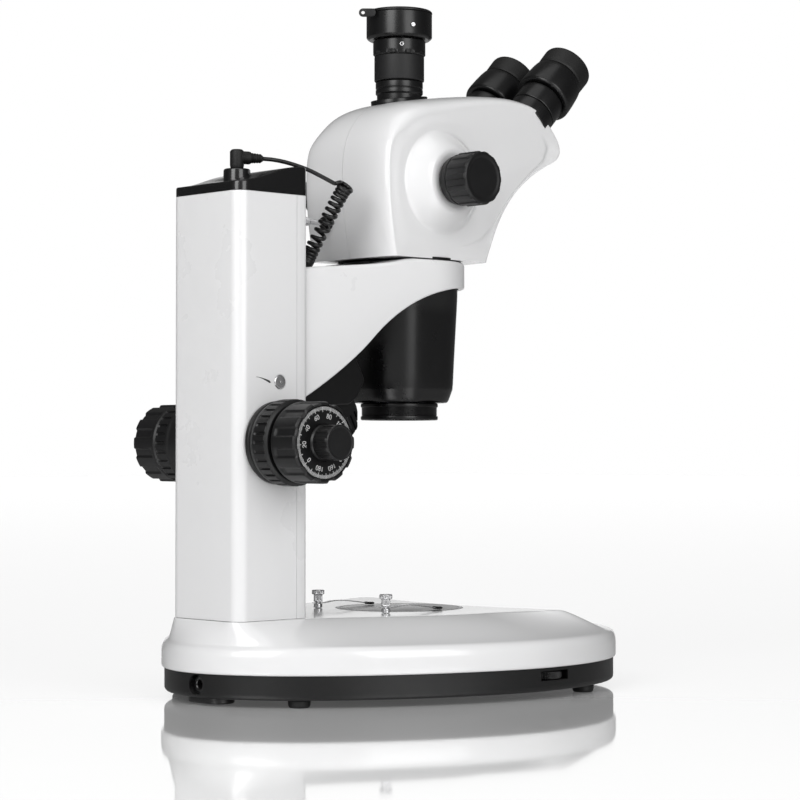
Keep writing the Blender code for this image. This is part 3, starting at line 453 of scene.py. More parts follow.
def bezier(p0, p1, p2, p3, count):
    """Points along one cubic curve, both ends included."""
    points = []
    for step in range(count + 1):
        t = step / count
        s = 1 - t
        weights = (s ** 3, 3 * s * s * t, 3 * s * t * t, t ** 3)
        points.append(tuple(sum(w * p[k] for w, p in zip(weights, (p0, p1, p2, p3))) for k in (0, 1)))
    return points


def resampled(points, count):
    """The same line with evenly spaced points."""
    lengths = [0.0]
    for a, b in zip(points, points[1:]):
        lengths.append(lengths[-1] + math.dist(a, b))
    result = []
    k = 0
    for step in range(count + 1):
        target = lengths[-1] * step / count
        while k < len(points) - 2 and lengths[k + 1] < target:
            k += 1
        t = (target - lengths[k]) / max(lengths[k + 1] - lengths[k], 1e-9)
        t = min(max(t, 0.0), 1.0)
        result.append(tuple(a + (b - a) * t for a, b in zip(points[k], points[k + 1])))
    return result


def softened(profile, radius=0.4, closed=False, steps=3):
    """A profile with its corners rounded off."""
    result = []
    count = len(profile)
    for k, point in enumerate(profile):
        if not closed and k in (0, count - 1):
            result.append(point)
            continue
        here = Vector(point)
        before = Vector(profile[k - 1]) - here
        after = Vector(profile[(k + 1) % count]) - here
        if before.length < 1e-6 or after.length < 1e-6 or before.angle(after) > math.radians(165):
            result.append(point)
            continue
        reach = min(radius, before.length * 0.42, after.length * 0.42)
        start = here + before.normalized() * reach
        end = here + after.normalized() * reach
        for step in range(steps + 1):
            t = step / steps
            bend = start * (1 - t) ** 2 + here * 2 * t * (1 - t) + end * t ** 2
            result.append((bend.x, bend.y))
    return result


def filled_in(profile, step):
    """A profile with extra points, none further apart than a step."""
    result = [profile[0]]
    for a, b in zip(profile, profile[1:]):
        parts = max(1, math.ceil(math.dist(a, b) / step))
        result += [tuple(p + (q - p) * k / parts for p, q in zip(a, b)) for k in range(1, parts + 1)]
    return result


def add_piece(name, verts, faces, finish, body, stands_for=(), sharp=38):
    """A mesh piece in the frame: shaded, painted, riding on its body and standing for its CAD nodes."""
    mesh = bpy.data.meshes.new(name)
    mesh.from_pydata([to_world(v) for v in verts], [], faces)
    return mesh_piece(name, mesh, finish, body, stands_for, sharp)


def mesh_piece(name, mesh, finish, body, stands_for=(), sharp=38):
    work = bmesh.new()
    work.from_mesh(mesh)
    bmesh.ops.remove_doubles(work, verts=work.verts, dist=0.000001)
    bmesh.ops.dissolve_degenerate(work, edges=work.edges, dist=0.0000005)
    bmesh.ops.recalc_face_normals(work, faces=work.faces)
    work.to_mesh(mesh)
    work.free()
    paint, own_slot = FINISHES[finish]
    mesh.materials.clear()
    mesh.materials.append(paint)
    mesh.shade_smooth()
    mesh.set_sharp_from_angle(angle=math.radians(sharp))
    item = bpy.data.objects.new(name, mesh)
    bpy.context.scene.collection.objects.link(item)
    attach(item, body)
    if stands_for:
        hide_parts(*stands_for)
    return item


def skin(rings, cap_first=True, cap_last=True, closed=False):
    """Vertices and faces of a loft through rings that have the same number of points."""
    count = len(rings[0])
    verts = [p for ring in rings for p in ring]
    faces = []
    rows = len(rings)
    for r in range(rows if closed else rows - 1):
        low = r * count
        high = (r + 1) % rows * count
        for k in range(count):
            j = (k + 1) % count
            faces.append((low + k, low + j, high + j, high + k))
    if not closed and cap_first:
        faces.append(tuple(reversed(range(count))))
    if not closed and cap_last:
        faces.append(tuple(range((rows - 1) * count, rows * count)))
    return verts, faces


def turned(profile, sides, wave=None, closed=False):
    """Vertices and faces of a turned shape about Z. A wave changes the radius by angle and height."""
    rings = []
    for radius, height in profile:
        ring = []
        for k in range(sides):
            angle = FULL_TURN * k / sides
            reach = wave(angle, radius, height) if wave and radius > 0 else radius
            ring.append((reach * math.cos(angle), reach * math.sin(angle), height))
        rings.append(ring)
    return skin(rings, closed=closed)


def stood(verts, matrix):
    return [tuple(matrix @ Vector(v)) for v in verts]


def at(x=0.0, y=0.0, z=0.0):
    return Matrix.Translation((x, y, z))


def along_x(side, y, z):
    """A turned piece's axis laid along +X or -X, from the centre plane."""
    return at(0, y, z) @ Matrix.Rotation(math.radians(90 * side), 4, "Y")


def lathe(name, profile, finish, body, nodes=(), matrix=None, wave=None, closed=False, soften=0.4, sides=None,
          step=None, sharp=38):
    """A turned piece with softened corners."""
    shape = softened(profile, soften, closed) if soften else list(profile)
    if step:
        shape = filled_in(shape, step)
    sides = sides or bpy.context.scene.microscope_details.sides
    verts, faces = turned(shape, sides, wave, closed)
    verts = stood(verts, matrix) if matrix is not None else verts
    return add_piece(name, verts, faces, finish, body, nodes, sharp)


def inset_outline(outline, amount):
    """A closed outline moved inwards. It runs anticlockwise."""
    if not amount:
        return list(outline)
    count = len(outline)
    result = []
    for k, (x, y) in enumerate(outline):
        px, py = outline[k - 1]
        nx, ny = outline[(k + 1) % count]
        dx, dy = nx - px, ny - py
        size = math.hypot(dx, dy) or 1.0
        result.append((x - dy / size * amount, y + dx / size * amount))
    return result


def stack(outline, levels):
    """Rings of an upright extrusion. A level is (height, inset)."""
    return [[(x, y, z) for x, y in inset_outline(outline, inset)] for z, inset in levels]


def rounded_levels(low, high, radius, steps=3):
    """Levels of an upright wall whose lower and upper edges are rounded."""
    levels = []
    for k in range(steps + 1):
        angle = math.pi / 2 * k / steps
        levels.append((low + radius * (1 - math.sin(angle)), radius * (1 - math.cos(angle))))
    bottom = list(reversed(levels))
    top = [(low + high - z, inset) for z, inset in levels]
    return bottom + top


def carve(item, tools, operation="DIFFERENCE", sharp=38):
    """Cut or join tools on a finished piece, and keep its shading."""
    for verts, faces in tools:
        mesh = bpy.data.meshes.new("tool")
        mesh.from_pydata([to_world(v) for v in verts], [], faces)
        work = bmesh.new()
        work.from_mesh(mesh)
        bmesh.ops.recalc_face_normals(work, faces=work.faces)
        work.to_mesh(mesh)
        work.free()
        tool = bpy.data.objects.new("tool", mesh)
        bpy.context.scene.collection.objects.link(tool)
        change = item.modifiers.new("Carve", "BOOLEAN")
        change.operation = operation
        change.solver = "EXACT"
        change.object = tool
        bpy.context.view_layer.update()
        graph = bpy.context.evaluated_depsgraph_get()
        result = bpy.data.meshes.new_from_object(item.evaluated_get(graph))
        item.modifiers.remove(change)
        item.data = result
        bpy.data.objects.remove(tool, do_unlink=True)
    item.data.shade_smooth()
    item.data.set_sharp_from_angle(angle=math.radians(sharp))
    return item


def box_shape(low, high):
    corners = [(x, y, z) for z in (low[2], high[2])
               for x, y in ((low[0], low[1]), (high[0], low[1]), (high[0], high[1]), (low[0], high[1]))]
    return skin([corners[:4], corners[4:]])


def rod_shape(radius, start, end, sides=64, matrix=None):
    verts, faces = turned([(radius, start), (radius, end)], sides)
    return (stood(verts, matrix) if matrix is not None else verts), faces


# ---------------------------------------------------------------- base

def egg_half(inset, count):
    """Right half of the base's outline, from the middle of the front to the middle of the rear."""
    width = BASE_HALF_WIDTH - inset
    rear = BASE_REAR - inset
    front = BASE_FRONT + inset
    side = BASE_WIDEST_Y
    fore = bezier((0, front), (90, front), (width, side - 92), (width, side), 60)
    back = bezier((width, side), (width, side + 73), (81, rear), (0, rear), 60)
    return resampled(fore + back[1:], count)


def closed_egg(inset):
    """The base's whole outline, anticlockwise from the front."""
    half = egg_half(inset, OUTLINE_POINTS)
    return half + [(-x, y) for x, y in reversed(half[1:-1])]


def closed_deck():
    """The flat deck's edge, anticlockwise from the front: past the stage and round the pillar's foot."""
    foot = 39.5
    corner = 14.0
    back = COLUMN.y1 + 2.0
    front = bezier((0, -49.5), (35, -49.5), (70, -59), (100, -67), 20)
    nose = bezier((100, -67), (122, -68), (93, -32), (88, 0), 20)
    flank = bezier((88, 0), (86, 62), (46, 96), (foot, 140), 30)
    rear = arc((foot - corner, back - corner), corner, 0, 90, 10) + [(0, back)]
    half = resampled(front + nose[1:] + flank[1:] + rear, OUTLINE_POINTS)
    return half + [(-x, y) for x, y in reversed(half[1:-1])]


def build_housing():
    """White moulded base: rounded wall and shoulder, a broad slope, the flat deck and the stage hole."""
    low = HOUSING.z0
    top = HOUSING.z1
    shoulder = top - 17.0
    wall = [(low, 1.3), (low + 0.3, 0.6), (low + 1.2, 0.1), (low + 2.5, 0.0), (low + 8, 0.0),
            (shoulder - 7, 0.1),
            (shoulder - 4, 0.6), (shoulder - 1.5, 1.9), (shoulder, 3.6), (shoulder + 0.9, 5.4)]
    rings = [[(x, y, z) for x, y in closed_egg(inset)] for z, inset in wall]
    edge = closed_egg(wall[-1][1])
    deck = closed_deck()
    steps = 22
    for k in range(1, steps + 1):
        t = k / steps
        rise = 0.78 * t + 0.22 * smooth_step(t)
        rise = min(rise, 1 - 0.55 * (1 - t) ** 1.15 * 0.6)
        z = wall[-1][0] + (top - wall[-1][0]) * rise
        rings.append([(a[0] + (b[0] - a[0]) * t, a[1] + (b[1] - a[1]) * t, z) for a, b in zip(edge, deck)])
    hole = STAGE.x1 + 0.35
    rim = []
    for x, y in deck:
        angle = math.atan2(y, x)
        rim.append((hole * math.cos(angle), hole * math.sin(angle)))
    for k in range(1, 7):
        t = k / 6
        rings.append([(a[0] + (b[0] - a[0]) * t, a[1] + (b[1] - a[1]) * t, top) for a, b in zip(deck, rim)])
    rings.append([(x * 0.998, y * 0.998, top - 0.4) for x, y in rim])
    rings.append([(x * 0.998, y * 0.998, STAGE.z0 - 0.1) for x, y in rim])
    rings.append([(x, y, low + 1.5) for x, y in closed_egg(6.0)])
    verts, faces = skin(rings, closed=True)
    return add_piece("housing_shell", verts, faces, "gloss_white_housing", "root", ["base_housing"], 50)


def build_stage():
    plate_top = STAGE.z1
    lathe("stage_insert", [(0, plate_top), (STAGE.x1 - 3.2, plate_top), (STAGE.x1 - 3.0, plate_top - 0.25),
                           (STAGE.x1 - 2.7, plate_top - 0.25), (STAGE.x1 - 2.5, plate_top),
                           (STAGE.x1 - 0.1, plate_top),
                           (STAGE.x1 - 0.1, STAGE.z0), (0, STAGE.z0)],
          "stage_insert", "root", ["stage_plate"], soften=0.25, sides=160)
    for word, side in SIDES:
        build_clip(word, side)


def build_clip(word, side):
    """A knurled post with its flat spring and dark tip."""
    post = Span(f"clip_post_{word}")
    deck = HOUSING.z1
    head = post.z1
    teeth = 26

    def knurl(angle, radius, height):
        on_shaft = deck + 5.4 < height < deck + 9.8 and radius > 3.0
        on_head = head - 2.7 < height < head - 0.7 and radius > 4.2
        return radius - (0.16 * (1 + math.cos(angle * teeth)) if on_shaft or on_head else 0.0)

    profile = [(0, head - 0.1), (1.6, head - 0.1), (1.8, head - 0.5), (2.2, head - 0.5), (2.5, head),
               (4.3, head),
               (4.7, head - 0.5), (4.7, head - 2.9), (4.2, head - 3.2), (3.3, head - 3.4), (3.3, deck + 4.9),
               (2.0, deck + 4.6), (2.0, deck + 3.4), (3.2, deck + 3.2), (3.2, deck + 0.5), (2.8, deck + 0.3),
               (2.0, deck + 0.3), (2.0, post.z0), (0, post.z0)]
    lathe(f"stage_post_{word}", profile, "turned_steel", f"clip_{word}", [f"clip_post_{word}"],
          at(post.x, post.y), knurl, soften=0.25, sides=130, step=0.5)
    line = [(4.4, 4.0), (-6, 4.0), (-14, 4.8), (-22, 4.9), (-32, 4.0), (-42, 2.7), (-50, 1.6), (-54.5, 1.25)]
    path = resampled([tuple(p) for p in spline_2d(line, 60)], 60)
    rings = []
    for y, z in path:
        near = max(0.0, min(1.0, (y + 10) / 10))
        half = 1.9 + 1.3 * smooth_step(near) if y > -8 else 1.9
        half *= math.sqrt(max(0.02, 1 - max(0.0, (y - 2.2) / 2.3) ** 2))
        rings.append([(post.x - half, post.y + y, deck + z - 0.3),
                      (post.x + half, post.y + y, deck + z - 0.3),
                      (post.x + half, post.y + y, deck + z + 0.25),
                      (post.x - half, post.y + y, deck + z + 0.25)])
    verts, faces = skin(rings)
    spring = add_piece(f"stage_spring_{word}", verts, faces, "turned_steel", f"clip_{word}",
                       [f"clip_spring_{word}"])
    carve(spring, [rod_shape(2.25, deck + 1, deck + 7, 32, at(post.x, post.y))])
    sleeve = []
    for k, (y, z) in enumerate(((-48.6, 1.75), (-49, 1.75), (-51, 1.5), (-53, 1.35), (-55.2, 1.3),
                                (-55.8, 1.3))):
        grow = 0.55 if k in (0, 5) else 1.0
        sleeve.append([(post.x + 2.5 * grow * math.cos(a), post.y + y, deck + z + 0.95 * grow * math.sin(a))
                       for a in (FULL_TURN * n / 20 for n in range(20))])
    verts, faces = skin(sleeve)
    add_piece(f"spring_tip_{word}", verts, faces, "black_rubber", f"clip_{word}")


def spline_2d(points, count):
    return [(p.x, p.y) for p in smooth_line([(x, y, 0) for x, y in points], count)]


def smooth_line(points, count):
    """A Catmull-Rom curve through the points."""
    first = tuple(2 * a - b for a, b in zip(points[0], points[1]))
    last = tuple(2 * a - b for a, b in zip(points[-1], points[-2]))
    knots = [Vector(p) for p in (first, *points, last)]
    spans = len(points) - 1
    result = []
    for step in range(count + 1):
        reach = min(step / count * spans, spans - 1e-9)
        k = int(reach)
        t = reach - k
        p0, p1, p2, p3 = knots[k:k + 4]
        result.append(0.5 * ((2 * p1) + (p2 - p0) * t + (2 * p0 - 5 * p1 + 4 * p2 - p3) * t ** 2
                             + (3 * p1 - p0 - 3 * p2 + p3) * t ** 3))
    return result


def build_tray():
    """Black tray with rounded lower edge, dimmer slots, and the inlet's lobe at the rear."""
    inset = BASE_HALF_WIDTH - TRAY.x1
    outline = closed_egg(inset)
    low = 5.5
    levels = [(low, 2.2), (low + 0.25, 1.2), (low + 0.9, 0.45), (low + 2.0, 0.05), (low + 4, 0.0),
              (TRAY.z1, 0.0)]
    verts, faces = skin(stack(outline, levels))
    tray = add_piece("tray_shell", verts, faces, "tray_black", "root", ["base_tray"], 45)
    slots = []
    for word, side in SIDES:
        wheel = Span(f"dimmer_wheel_{word}")
        middle = wheel.x + side * 4.5
        slots.append(box_shape((middle - 20, wheel.y - 14, wheel.z - 3.4),
                               (middle + 20, wheel.y + 14, wheel.z + 3.4)))
    inlet = Span("power_inlet")
    rear = at(inlet.x, inlet.y, inlet.z) @ Matrix.Rotation(math.radians(-90), 4, "X")
    slots.append(rod_shape(7.0, -7, 60, 48, rear))
    carve(tray, slots, sharp=45)
    lobe = arc((inlet.x - 8, 186), 11, 90, 270, 14) + arc((inlet.x + 8, 186), 11, 270, 450, 14)
    verts, faces = skin(stack(lobe, rounded_levels(TRAY.z0, TRAY.z0 + 8, 1.2)))
    add_piece("inlet_lobe", verts, faces, "tray_black", "root")
    socket = [(0, 2), (1.1, 2.3), (1.3, 1.8), (1.3, -5), (2.9, -5), (2.9, 6.0), (3.6, 6.6), (5.9, 6.6),
              (6.7, 5.9),
              (6.7, -7), (0, -7)]
    lathe("inlet_socket", socket, "gloss_black_cap", "root", ["power_inlet"], rear, soften=0.3, sides=64)
    for number in range(1, 5):
        foot = Span(f"foot_{number}")
        radius = (foot.x1 - foot.x0) / 2
        lathe(f"rubber_foot_{number}",
              [(0, foot.z1 + 0.2), (radius, foot.z1 + 0.2), (radius - 0.25, 1.4), (radius - 1.1, 0.0),
               (5.0, 0.0),
               (4.6, 0.5), (0, 0.5)],
              "black_rubber", "root", [f"foot_{number}"], at(foot.x, foot.y), soften=0.7, sides=64)
    for word, side in SIDES:
        wheel = Span(f"dimmer_wheel_{word}")
        radius = (wheel.x1 - wheel.x0) / 2
        lathe(f"dimmer_{word}_ribbed",
              [(0, wheel.z1), (radius - 0.9, wheel.z1), (radius, wheel.z1 - 0.9), (radius, wheel.z0 + 0.9),
               (radius - 0.9, wheel.z0), (0, wheel.z0)],
              "moulded_black", f"dimmer_{word}", [f"dimmer_wheel_{word}"], at(wheel.x, wheel.y),
              lambda angle, reach, height: reach - (0.35 * (1 + math.cos(angle * 48)) if reach > 13 else 0),
              soften=0.2, sides=288)


# ---------------------------------------------------------------- pillar

def pillar_corner_outline(front, back, half, corner, small, count=12):
    """A pillar section with wide rear corners and small front ones, anticlockwise."""
    return (arc((half - small, front + small), small, -90, 0, 4)
            + arc((half - corner, back - corner), corner, 0, 90, count)
            + arc((corner - half, back - corner), corner, 90, 180, count)
            + arc((small - half, front + small), small, 180, 270, 4))


def build_pillar():
    half = COLUMN.x1
    corner = PILLAR_CORNER
    wall = 4.0
    seam = COVER.y1
    outer = [(half, seam + 0.3)] + arc((half - corner, COLUMN.y1 - corner), corner, 0, 90, 16)
    outer += arc((corner - half, COLUMN.y1 - corner), corner, 90, 180, 16) + [(-half, seam + 0.3)]
    inner = [(wall - half, seam + 0.3)] + arc((corner - half, COLUMN.y1 - corner), corner - wall, 180, 90, 16)
    inner += arc((half - corner, COLUMN.y1 - corner), corner - wall, 90, 0, 16) + [(half - wall, seam + 0.3)]
    verts, faces = skin(stack(outer + inner, [(COLUMN.z0, 0), (COLUMN.z1, 0)]))
    column = add_piece("pillar_shell", verts, faces, "white_enamel", "root", ["pillar_column"], 30)
    drive = at(0, COARSE.y, COARSE.z) @ Matrix.Rotation(math.radians(90), 4, "Y")
    seat = at(0, PLUG_DISC.y, PLUG_DISC.z) @ Matrix.Rotation(math.radians(90), 4, "Y")
    carve(column, [rod_shape(6.4, -60, 60, 48, drive), rod_shape(5.25, -60, -half + 1.4, 64, seat)], sharp=30)
    front = pillar_corner_outline(COVER.y0, COVER.y1 + 4, half, 4.0, 4.0)
    front = [(x, min(y, COVER.y1)) for x, y in front]
    verts, faces = skin(stack(front, [(COVER.z0, 0), (COVER.z1, 0)]))
    cover = add_piece("pillar_cover", verts, faces, "white_enamel", "root", ["pillar_front_cover"], 30)
    carve(cover, [box_shape((-13, COVER.y0 - 5, 138), (13, COVER.y1 + 5, 348))], sharp=30)
    build_plug_disc()
    build_cap()


def build_plug_disc():
    """Turned steel disc in the pillar's side with a printed wedge arrow beside it."""
    matrix = along_x(-1, PLUG_DISC.y, PLUG_DISC.z)
    face = -PLUG_DISC.x0
    lathe("side_disc", [(0, face - 0.25), (0.5, face - 0.05), (2.0, face), (4.4, face), (4.9, face - 0.35),
                        (5.0, face - 1.6), (0, face - 1.6)],
          "spun_steel", "root", ["side_plug"], matrix, soften=0.25, sides=96)
    side = -COLUMN.x1
    rings = []
    for k in range(25):
        t = k / 24
        y = PLUG_DISC.y + 21.5 - 13.0 * t
        z = PLUG_DISC.z + 3.1 - 3.6 * t ** 1.6
        half = 0.12 + 0.85 * t ** 1.5 * (1 if t < 0.93 else (1 - t) / 0.07 + 0.05)
        rings.append([(side - 0.05, y, z - half), (side - 0.05, y, z + half), (side + 0.05, y, z + half),
                      (side + 0.05, y, z - half)])
    verts, faces = skin(rings)
    add_piece("wedge_print", verts, faces, "dark_print", "root", sharp=60)


def build_cap():
    """Black cap: low at the back, rising to its front on an S-curve, with the lamp socket's boss."""
    low = CAP.z0
    crest = bezier((CAP.y1, low + 6.5), (165, low + 8), (152, low + 19), (CAP.y0 + 6, low + 20), 60)
    crest += [(CAP.y0, low + 20)]
    half = COLUMN.x1
    corner = PILLAR_CORNER
    small = 4.0
    rows = [CAP.y0 + small * (1 - math.cos(math.radians(a))) for a in range(0, 91, 9)]
    rows += [CAP.y0 + small + (CAP.y1 - corner - CAP.y0 - small) * k / 30 for k in range(1, 30)]
    rows += [CAP.y1 - corner + corner * math.sin(math.radians(a)) for a in range(0, 91, 5)]
    rings = []
    edge = 1.6
    for y in rows:
        if y < CAP.y0 + small:
            width = half - small + math.sqrt(max(0.0, small ** 2 - (CAP.y0 + small - y) ** 2))
        elif y > CAP.y1 - corner:
            width = half - corner + math.sqrt(max(0.0, corner ** 2 - (y - CAP.y1 + corner) ** 2))
        else:
            width = half
        ends = min((y - CAP.y0) / edge, (CAP.y1 - y) / edge, 1.0)
        drop = edge * (1 - math.sqrt(max(0.0, 1 - (1 - max(ends, 0.0)) ** 2)))
        top = height_on(crest, y) - drop
        side = [(width, low)] + [
            (width - edge * (1 - math.cos(math.radians(a))), top - edge + edge * math.sin(math.radians(a)))
            for a in range(0, 91, 15)]
        rings.append([(x, y, z) for x, z in side] + [(-x, y, z) for x, z in reversed(side)])
    verts, faces = skin(rings)
    add_piece("cap_shell", verts, faces, "gloss_black_cap", "root", ["pillar_cap"], 40)
    lathe("socket_boss", [(4.4, low + 19.2), (8.8, low + 19.2), (9.5, low + 18.4), (9.9, low + 4),
                          (4.4, low + 4)],
          "gloss_black_cap", "root", matrix=at(0, 158), closed=True, soften=0.5, sides=80)


def height_on(line, y):
    """Height of a side view's line at a depth."""
    for (y0, z0), (y1, z1) in zip(line, line[1:]):
        if min(y0, y1) <= y <= max(y0, y1) and y0 != y1:
            return z0 + (z1 - z0) * (y - y0) / (y1 - y0)
    return line[0][1] if abs(y - line[0][0]) < abs(y - line[-1][0]) else line[-1][1]


# ---------------------------------------------------------------- focus drive

def build_focus():
    details = bpy.context.scene.microscope_details
    inner = -COLLAR.x1
    outer = -COLLAR.x0
    lathe("tension_ring", [(27.2, outer), (29, outer - 1.2), (29, inner + 1.6), (28, inner), (6.8, inner),
                           (6.8, outer)],
          "moulded_black", "tension", ["tension_collar"], along_x(-1, COARSE.y, COARSE.z), closed=True,
          soften=0.6)
    for word, side in SIDES:
        build_coarse(word, side, details.coarse_slots)
        build_fine(word, side, details.fine_flutes, details.hub_bars)
    build_dial()


def build_coarse(word, side, slots):
    """Coarse focus ring with narrow round-ended slots in its rim."""
    node = Span(f"coarse_knob_{word}")
    inner = min(abs(node.x0), abs(node.x1))
    outer = max(abs(node.x0), abs(node.x1))
    rim = (node.z1 - node.z0) / 2
    ridge_low, ridge_high = outer - 12.5, outer - 1.6

    def slot_wave(angle, radius, height):
        if radius < rim - 0.8 or not ridge_low < height < ridge_high:
            return radius
        phase = (angle * slots / FULL_TURN) % 1.0
        across = max(0.0, 1 - ((phase - 0.5) / 0.2) ** 2)
        ends = min((height - ridge_low) / 1.2, (ridge_high - height) / 1.2, 1.0)
        return radius - 1.15 * min(1.0, across * 2.2) * math.sqrt(max(ends, 0.0))

    profile = [(27.5, outer), (rim, outer - 1.5), (rim, outer - 13.5), (rim - 0.8, outer - 16),
               (rim - 1.6, inner),
               (5.1, inner), (5.1, outer)]
    lathe(f"coarse_ring_{word}", profile, "moulded_black", "coarse_focus", [f"coarse_knob_{word}"],
          along_x(side, COARSE.y, COARSE.z), slot_wave, closed=True, soften=0.7, sides=slots * 14, step=0.8,
          sharp=50)


def build_fine(word, side, flutes, bars):
    """Fine focus knob with broad flutes, and its hub with raised bars and a flat bright-edged end."""
    node = Span(f"fine_knob_{word}")
    rim = (node.z1 - node.z0) / 2
    tip = max(abs(node.x0), abs(node.x1))
    low, face = 63.2, 89.0
    start = low + 4.6

    def flute_wave(angle, radius, height):
        if radius < rim - 2.2 or height < start:
            return radius
        phase = (angle * flutes / FULL_TURN) % 1.0
        across = max(0.0, 1 - ((phase - 0.5) / 0.25) ** 2)
        run = min((height - start) / 2.4, 1.0)
        return radius - 1.35 * smooth_step(across * 1.7) * math.sqrt(max(run, 0.0))

    matrix = along_x(side, COARSE.y, COARSE.z)
    dish = 87.7 if side < 0 else 88.4
    body = [(0, dish), (25.6, dish), (25.6, face), (26.9, face), (rim, face - 1.4), (rim, low + 2.2),
            (rim - 1.8, low),
            (3.2, low), (3.2, low + 4), (0, low + 4)]
    lathe(f"fine_wheel_{word}", body, "moulded_black", "fine_focus", [f"fine_knob_{word}"], matrix,
          flute_wave,
          soften=0.6, sides=flutes * 24, step=1.0, sharp=50)
    hub = 12.2

    def bar_wave(angle, radius, height):
        if radius < hub - 1.0 or height > tip - 1.4:
            return radius
        phase = (angle * bars / FULL_TURN) % 1.0
        across = max(0.0, 1 - ((phase - 0.5) / 0.24) ** 2)
        run = min((tip - 1.8 - height) / 1.2, (height - dish - 3.2) / 1.6, 1.0)
        return radius + 0.75 * smooth_step(across * 2.0) * math.sqrt(max(run, 0.0)) - 0.75

    profile = [(0, tip - 0.35), (hub - 1.7, tip - 0.35), (hub - 1.3, tip), (hub - 0.5, tip), (hub, tip - 0.7),
               (hub, tip - 2), (hub, dish + 2), (hub + 1.6, dish - 0.5), (0, dish - 0.5)]
    lathe(f"fine_hub_{word}", profile, "moulded_black", "fine_focus", matrix=matrix, wave=bar_wave,
          soften=0.3,
          sides=bars * 20, step=0.8, sharp=50)


DIGITS = {
    "0": [[(0, .2), (0, .8), (.2, 1), (.4, 1), (.6, .8), (.6, .2), (.4, 0), (.2, 0), (0, .2)]],
    "1": [[(.1, .75), (.35, 1), (.35, 0)]],
    "2": [[(0, .8), (.2, 1), (.4, 1), (.6, .8), (.6, .62), (0, 0), (.6, 0)]],
    "4": [[(.45, 0), (.45, 1), (0, .32), (.62, .32)]],
    "6": [[(.55, .95), (.25, .85), (0, .45), (0, .2), (.2, 0), (.4, 0), (.6, .2), (.6, .35), (.4, .55),
           (.2, .55),
           (.02, .38)]],
    "8": [[(.2, .52), (.04, .68), (.04, .84), (.2, 1), (.4, 1), (.56, .84), (.56, .68), (.4, .52), (.2, .52),
           (0, .34), (0, .18), (.2, 0), (.4, 0), (.6, .18), (.6, .34), (.4, .52)]],
}


def stroke(points, width, low, high):
    """A flat ribbon along a line, as a solid between two heights."""
    rings = []
    for k, point in enumerate(points):
        before = Vector(points[max(k - 1, 0)])
        after = Vector(points[min(k + 1, len(points) - 1)])
        along = (after - before).normalized() if (after - before).length > 1e-6 else Vector((1, 0))
        across = Vector((-along.y, along.x)) * width / 2
        here = Vector(point)
        a, b = here + across, here - across
        rings.append([(a.x, a.y, low), (b.x, b.y, low), (b.x, b.y, high), (a.x, a.y, high)])
    return skin(rings)


def merged(shapes):
    verts, faces = [], []
    for more_verts, more_faces in shapes:
        start = len(verts)
        verts += more_verts
        faces += [tuple(start + k for k in face) for face in more_faces]
    return verts, faces


def build_dial():
    """Graduated ring in the left fine knob: two hundred marks, and a number at every twentieth."""
    node = Span("focus_dial")
    matrix = along_x(-1, COARSE.y, COARSE.z)
    face = -node.x0 - 0.55
    rim = (node.z1 - node.z0) / 2
    lathe("dial_ring", [(rim, face), (rim, face - 0.5), (12.9, face - 0.5), (12.9, face)],
          "satin_black_metal",
          "fine_focus", ["focus_dial"], matrix, closed=True, soften=0.1, sides=160)
    marks = []
    zero = math.radians(130)
    low, high = face - 0.1, face + 0.06
    for k in range(200):
        angle = zero - FULL_TURN * k / 200
        length = 3.6 if k % 10 == 0 else (2.9 if k % 5 == 0 else 2.3)
        inner, outer = rim - 0.7 - length, rim - 0.7
        way = Vector((math.cos(angle), math.sin(angle)))
        marks.append(stroke([way * inner, way * outer], 0.24 if k % 10 else 0.34, low, high))
    for number in range(0, 200, 20):
        angle = zero - FULL_TURN * number / 200
        text = str(number)
        size = 3.0
        advance = 0.92 * size * 0.86
        width = advance * len(text) - 0.3 * size * 0.6
        up = Vector((math.cos(angle), math.sin(angle)))
        right = Vector((up.y, -up.x))
        corner = up * (rim - 5.6 - size) - right * width / 2
        for place, digit in enumerate(text):
            for line in DIGITS[digit]:
                points = [corner + right * (place * advance + x * size * 0.9) + up * (y * size) for x,
                          y in line]
                marks.append(stroke(points, 0.4, low, high))
    verts, faces = merged(marks)
    add_piece("dial_marks", stood(verts, matrix), faces, "white_print", "fine_focus", sharp=60)


# ---------------------------------------------------------------- arm

def swoosh_line():
    """The arm's underside seen from the side, from its nose back to the pillar."""
    swoosh = bezier((-30, ARM_RING_LOW), (12, ARM_RING_LOW), (43, 278), (65, 256), 40)
    return swoosh + bezier((65, 256), (80, 241), (104, 224.5), (COVER.y0 - 0.3, 213), 30)[1:]


